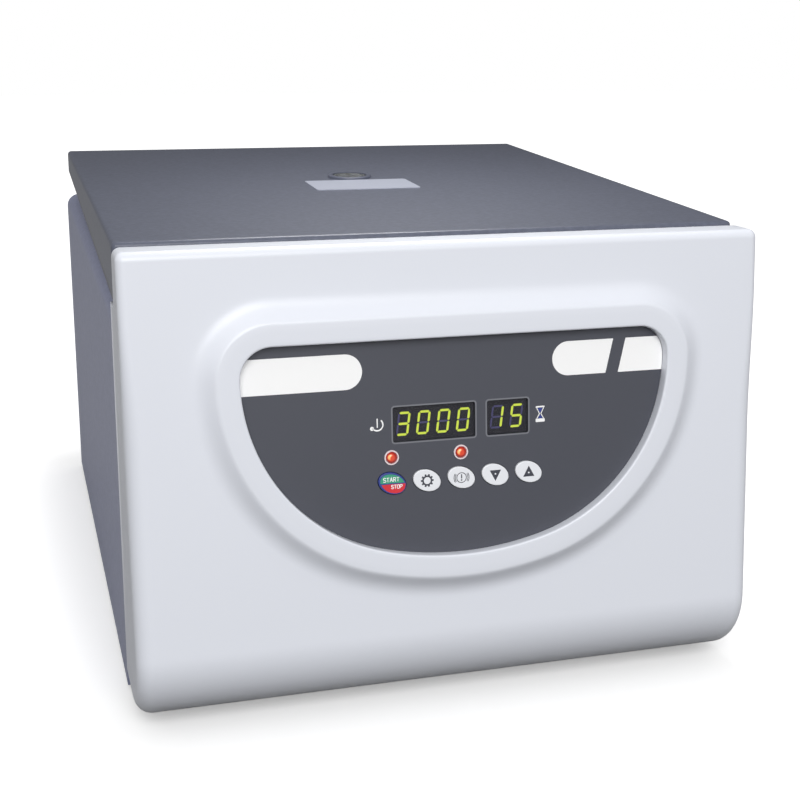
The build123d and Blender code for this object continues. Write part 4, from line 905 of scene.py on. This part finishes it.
# %% Capitals as strokes
LETTERS = {
    "S": [[(4, 5), (3, 6), (1, 6), (0, 5), (0, 4), (1, 3), (3, 3), (4, 2), (4, 1), (3, 0), (1, 0),
           (0, 1)]],
    "T": [[(-0.2, 6), (4.2, 6)], [(2, 6), (2, 0)]],
    "A": [[(0, 0), (2, 6), (4, 0)], [(0.8, 2), (3.2, 2)]],
    "R": [[(0, 0), (0, 6), (3, 6), (4, 5), (4, 4), (3, 3), (0, 3)], [(2, 3), (4, 0)]],
    "O": [[(1, 0), (0, 1), (0, 5), (1, 6), (3, 6), (4, 5), (4, 1), (3, 0), (1, 0)]],
    "P": [[(0, 0), (0, 6), (3, 6), (4, 5), (4, 4), (3, 3), (0, 3)]],
}
LETTER_PITCH, LETTER_SQUEEZE, STROKE = 5.0, 0.9, 0.42


def words(word, x, s, height):
    """Strokes of a word in plain capitals on a grid of 4 by 6, its left lower corner at (x, s)."""
    unit = height / 6
    strokes = []
    for k, letter in enumerate(word):
        corner = [x + LETTER_PITCH * unit * k, s]
        for path in LETTERS[letter]:
            strokes.append(ribbon(np.array(path) * [LETTER_SQUEEZE * unit, unit] + corner, STROKE))
    return strokes


# %% Key print helpers
KEY_S, KEY_TOP, KEY_PITCH, KEY_LONG, KEY_SHORT, KEY_TURN = 137.6, 1.5, 22.0, 9.0, 6.5, -22.0
UNDER_PRINT, OVER_PRINT = 0.04, 0.08


def key_film(name, shapes, mat, key, thick=INK):
    """Shapes printed on the flat top of one key."""
    film(name, shapes, mat, key, KEY_TOP - SUNK, thick)


def oval_part(x, s, long, short, level, upper):
    """The part of a turned ellipse above or below the line s = level, as one closed outline."""
    whole = circle(x, s, long, count=720, squash=short / long, turn=KEY_TURN)
    keep = whole[whole[:, 1] > level] if upper else whole[whole[:, 1] < level]
    gap = np.argmax(np.linalg.norm(np.roll(keep, -1, 0) - keep, axis=1))
    return np.roll(keep, -gap - 1, axis=0)[::6]


def toothed_ring(x, s, inner, root, tip, teeth):
    """Ring with square teeth round its outside, as an outer and an inner outline."""
    step = np.radians(360 / teeth)
    a = np.arange(teeth)[:, None] * step + np.array([-0.3, -0.22, 0.22, 0.3]) * step
    r = np.array([root, tip, tip, root])
    outer = np.stack([x + r * np.cos(a), s + r * np.sin(a)], -1).reshape(-1, 2)
    hole = a.reshape(-1)
    return outer, np.stack([x + inner * np.cos(hole), s + inner * np.sin(hole)], -1)


# %% Start and stop key
PRINT_MARGIN = 0.45
key_x = -2 * KEY_PITCH
long, short = KEY_LONG - PRINT_MARGIN, KEY_SHORT - PRINT_MARGIN
blue = circle(key_x, KEY_S, long, squash=short / long, turn=KEY_TURN)
green = oval_part(key_x + 0.15, KEY_S - 0.1, 8.0, 5.5, KEY_S + 0.1, True)
red = oval_part(key_x + 0.55, KEY_S - 0.1, 7.9, 5.7, KEY_S - 0.35, False)
key_film("start_blue", [blue], print_blue, "key_start_stop", UNDER_PRINT)
key_film("start_green", [green], print_green, "key_start_stop")
key_film("stop_red", [red], print_red, "key_start_stop")
both = words("START", key_x - 5.6, KEY_S + 1.15, 2.5) + words("STOP", key_x - 0.7, KEY_S - 3.2, 2.2)
key_film("start_stop_words", both, print_white, "key_start_stop", OVER_PRINT)
print("start and stop printed in", len(both), "strokes")

# %% The other four keys
wheel = toothed_ring(-KEY_PITCH, KEY_S, 2.2, 3.2, 4.1, 10)
key_film("settings_mark", [wheel], print_dark, "key_settings")

alarm = [
    ring(0.0, KEY_S, 3.3, 2.85),
    ribbon([(0.0, KEY_S + 2.1), (0.0, KEY_S - 0.5)], 0.7),
    circle(0.0, KEY_S - 1.5, 0.5),
]
for r in (4.05, 4.85):
    for mid in (0, 180):
        alarm.append(ribbon(circle(0.0, KEY_S, r, mid - 34, mid + 34, 16), STROKE))
key_film("alarm_mark", alarm, print_dark, "key_alarm")

TRIANGLE = np.array([(-3.7, -2.9), (3.7, -2.9), (0.0, 3.9)])
for name, x, way in (("down", KEY_PITCH, -1), ("up", 2 * KEY_PITCH, 1)):
    key_film(f"{name}_mark", [TRIANGLE * way + [x, KEY_S]], print_dark, f"key_{name}")
    dot = circle(x, KEY_S - 0.5 * way, 0.55, count=16)
    key_film(f"{name}_dot", [dot], key_grey, f"key_{name}", thick=OVER_PRINT)
print("key prints made")

# %% [markdown]
# ## Floor
#
# A product stands on white paper in a white room. White paper lit from above would glare, and
# its bounce would wash out the under-curve, so the floor answers each kind of ray by itself. To
# the camera it is near white and glows a little, less so close to the part: the lower glow there
# paints a shadow round its base, added to the one the lamps cast. To mirror-like surfaces it is
# mid grey, and to scattered light it gives nothing back.

# %% Floor
WHITE = linear("ffffff")
FLOOR_SIZE = 8.0
FLOOR_SEEN, FLOOR_MIRRORED = 0.9, 0.54
# The lower glow next to the part paints its shadow darker; the far value is the even white paper.
PAINTED_SHADOW_GLOW, GLOW_FAR, PAINTED_SHADOW_REACH = 0.27, 0.6, 0.09
FOOTPRINT = (HALF_W / 1000, -FRONT_Y / 1000, 0.0)


def seen_directly(tree):
    """1 for rays from the camera and through glass, and 0 for reflected and scattered light."""
    path = add_node(tree, "ShaderNodeLightPath").outputs
    rays = {0: path["Is Camera Ray"], 1: path["Is Transmission Ray"]}
    return add_node(tree, "ShaderNodeMath", rays, operation="MAXIMUM").outputs[0]


def outside_footprint(tree):
    """Distance in metres from the part's footprint: length of max(|p| - half size, 0)."""
    spot = add_node(tree, "ShaderNodeTexCoord").outputs["Object"]
    spot = add_node(tree, "ShaderNodeVectorMath", {0: spot}, operation="ABSOLUTE").outputs[0]
    for step, by in (("SUBTRACT", FOOTPRINT), ("MAXIMUM", (0.0, 0.0, 0.0))):
        spot = add_node(tree, "ShaderNodeVectorMath", {0: spot, 1: by}, operation=step).outputs[0]
    return add_node(tree, "ShaderNodeVectorMath", {0: spot}, operation="LENGTH").outputs["Value"]


def floor_paper():
    """Matt white whose colour and glow depend on the kind of ray, with less glow near the part:
    painted shadow.
    """
    made, tree, shader = material("matt_white_floor", "ffffff", 1.0, Specular_IOR_Level=0.0)
    shader.inputs["Emission Color"].default_value = WHITE
    direct = seen_directly(tree)
    glossy = add_node(tree, "ShaderNodeLightPath").outputs["Is Glossy Ray"]
    mirrored = add_node(
        tree, "ShaderNodeMath", {0: glossy, 1: FLOOR_MIRRORED}, operation="MULTIPLY"
    )
    tone = add_node(
        tree,
        "ShaderNodeMapRange",
        {"Value": direct, "To Min": mirrored.outputs[0], "To Max": FLOOR_SEEN},
    )
    # Close to the footprint the glow drops to its lower value: a painted shadow round the base.
    reach = {"Value": outside_footprint(tree), "From Max": PAINTED_SHADOW_REACH}
    far = add_node(
        tree,
        "ShaderNodeMapRange",
        reach | {"To Min": PAINTED_SHADOW_GLOW, "To Max": GLOW_FAR},
        interpolation_type="SMOOTHSTEP",
    )
    glow = add_node(
        tree, "ShaderNodeMath", {0: direct, 1: far.outputs["Result"]}, operation="MULTIPLY"
    )
    tree.links.new(tone.outputs["Result"], shader.inputs["Base Color"])
    tree.links.new(glow.outputs[0], shader.inputs["Emission Strength"])
    return made


CORNERS = np.array([(-1, -1, 0), (1, -1, 0), (1, 1, 0), (-1, 1, 0)])
made = mesh_piece("floor", 1000 * 0.5 * FLOOR_SIZE * CORNERS, [(0, 1, 2, 3)], floor_paper())
print("floor", FLOOR_SIZE, "m square")

# %% [markdown]
# ## Light
#
# One large lamp in front, a little to the left and well above, draws the face, the rim's shadow
# and the belly. A small one above the back of the lid looks forward and down and lifts the lid
# alone; its narrow beam keeps it off the front. The rest is even light from all sides. To
# mirror-like surfaces the room is bright at the front left and dark at the back right, which
# shapes the gloss.

# %% Lamps
def lamp(name, place, target, size, power, spread=180.0):
    """A square area light at a place in metres that faces its target; spread is its beam angle."""
    data = bpy.data.lights.new(name, "AREA")
    data.shape, data.size, data.energy = "SQUARE", size, power
    data.spread = math.radians(spread)
    made = bpy.data.objects.new(name, data)
    turn = (Vector(target) - Vector(place)).to_track_quat("-Z", "Y").to_matrix().to_4x4()
    made.matrix_world = Matrix.Translation(place) @ turn
    bpy.context.scene.collection.objects.link(made)


lamp("key_light", place=(-0.55, -3.2, 2.2), target=(0.0, -0.1, 0.15), size=2.2, power=96.0)
lamp(
    "lid_light", place=(0.1, 0.25, 0.85), target=(0.0, -0.17, 0.295), size=0.3, power=0.45,
    spread=60.0,
)

# %% Room light
AMBIENT = 0.56
ROOM_DARK_WAY, ROOM_BRIGHT, ROOM_DARK = (0.7, 0.9, 0.0), 0.8, 0.1


def soft_room():
    """World light: 1 to the camera, AMBIENT to matt surfaces, a run by direction to glossy."""
    made = bpy.data.worlds.new("soft_white")
    made.use_nodes = True
    tree = made.node_tree
    background = tree.nodes["Background"]
    background.inputs["Color"].default_value = WHITE
    way = add_node(tree, "ShaderNodeTexCoord").outputs["Generated"]
    away = add_node(
        tree, "ShaderNodeVectorMath", {0: way, 1: ROOM_DARK_WAY}, operation="DOT_PRODUCT"
    )
    run = {"Value": away.outputs["Value"], "From Min": -1.0}
    mirrored = add_node(
        tree, "ShaderNodeMapRange", run | {"To Min": ROOM_BRIGHT, "To Max": ROOM_DARK}
    )
    glossy = add_node(tree, "ShaderNodeLightPath").outputs["Is Glossy Ray"]
    lit = add_node(
        tree,
        "ShaderNodeMapRange",
        {"Value": glossy, "To Min": AMBIENT, "To Max": mirrored.outputs["Result"]},
    )
    strength = add_node(
        tree, "ShaderNodeMapRange", {"Value": seen_directly(tree), "To Min": lit.outputs["Result"]}
    )
    tree.links.new(strength.outputs["Result"], background.inputs["Strength"])
    return made


bpy.context.scene.world = soft_room()
print("lamps", len(bpy.data.lights), "ambient", AMBIENT)

# %% [markdown]
# ## Camera
#
# It stands to the left of the middle, a metre off and above the lid, and looks down and to the
# right, so that the left wall and the lid show beside the front.

# %% Camera
CAMERA_PLACE = (-0.263, -0.9866, 0.4498)
YAW, PITCH, ROLL = 0.291, 0.307, 0.020


def set_camera():
    """Turned right by YAW, tipped down by PITCH and rolled, as three unit vectors in a matrix."""
    forward = np.array([
        math.sin(YAW) * math.cos(PITCH), math.cos(YAW) * math.cos(PITCH), -math.sin(PITCH),
    ])
    right = np.array([math.cos(YAW), -math.sin(YAW), 0.0])
    up = np.cross(right, forward)
    across = math.cos(ROLL) * right + math.sin(ROLL) * up
    above = -math.sin(ROLL) * right + math.cos(ROLL) * up
    data = bpy.data.cameras.new("camera")
    data.lens, data.sensor_width, data.sensor_fit = 61.5, 36.0, "AUTO"
    data.clip_start, data.clip_end = 0.05, 20.0
    made = bpy.data.objects.new("camera", data)
    rows = [[across[k], above[k], -forward[k], CAMERA_PLACE[k]] for k in range(3)]
    made.matrix_world = Matrix([*rows, [0, 0, 0, 1]])
    bpy.context.scene.collection.objects.link(made)
    bpy.context.scene.camera = made


set_camera()
bpy.context.scene.view_settings.view_transform = "Standard"
print("camera lens", bpy.context.scene.camera.data.lens)
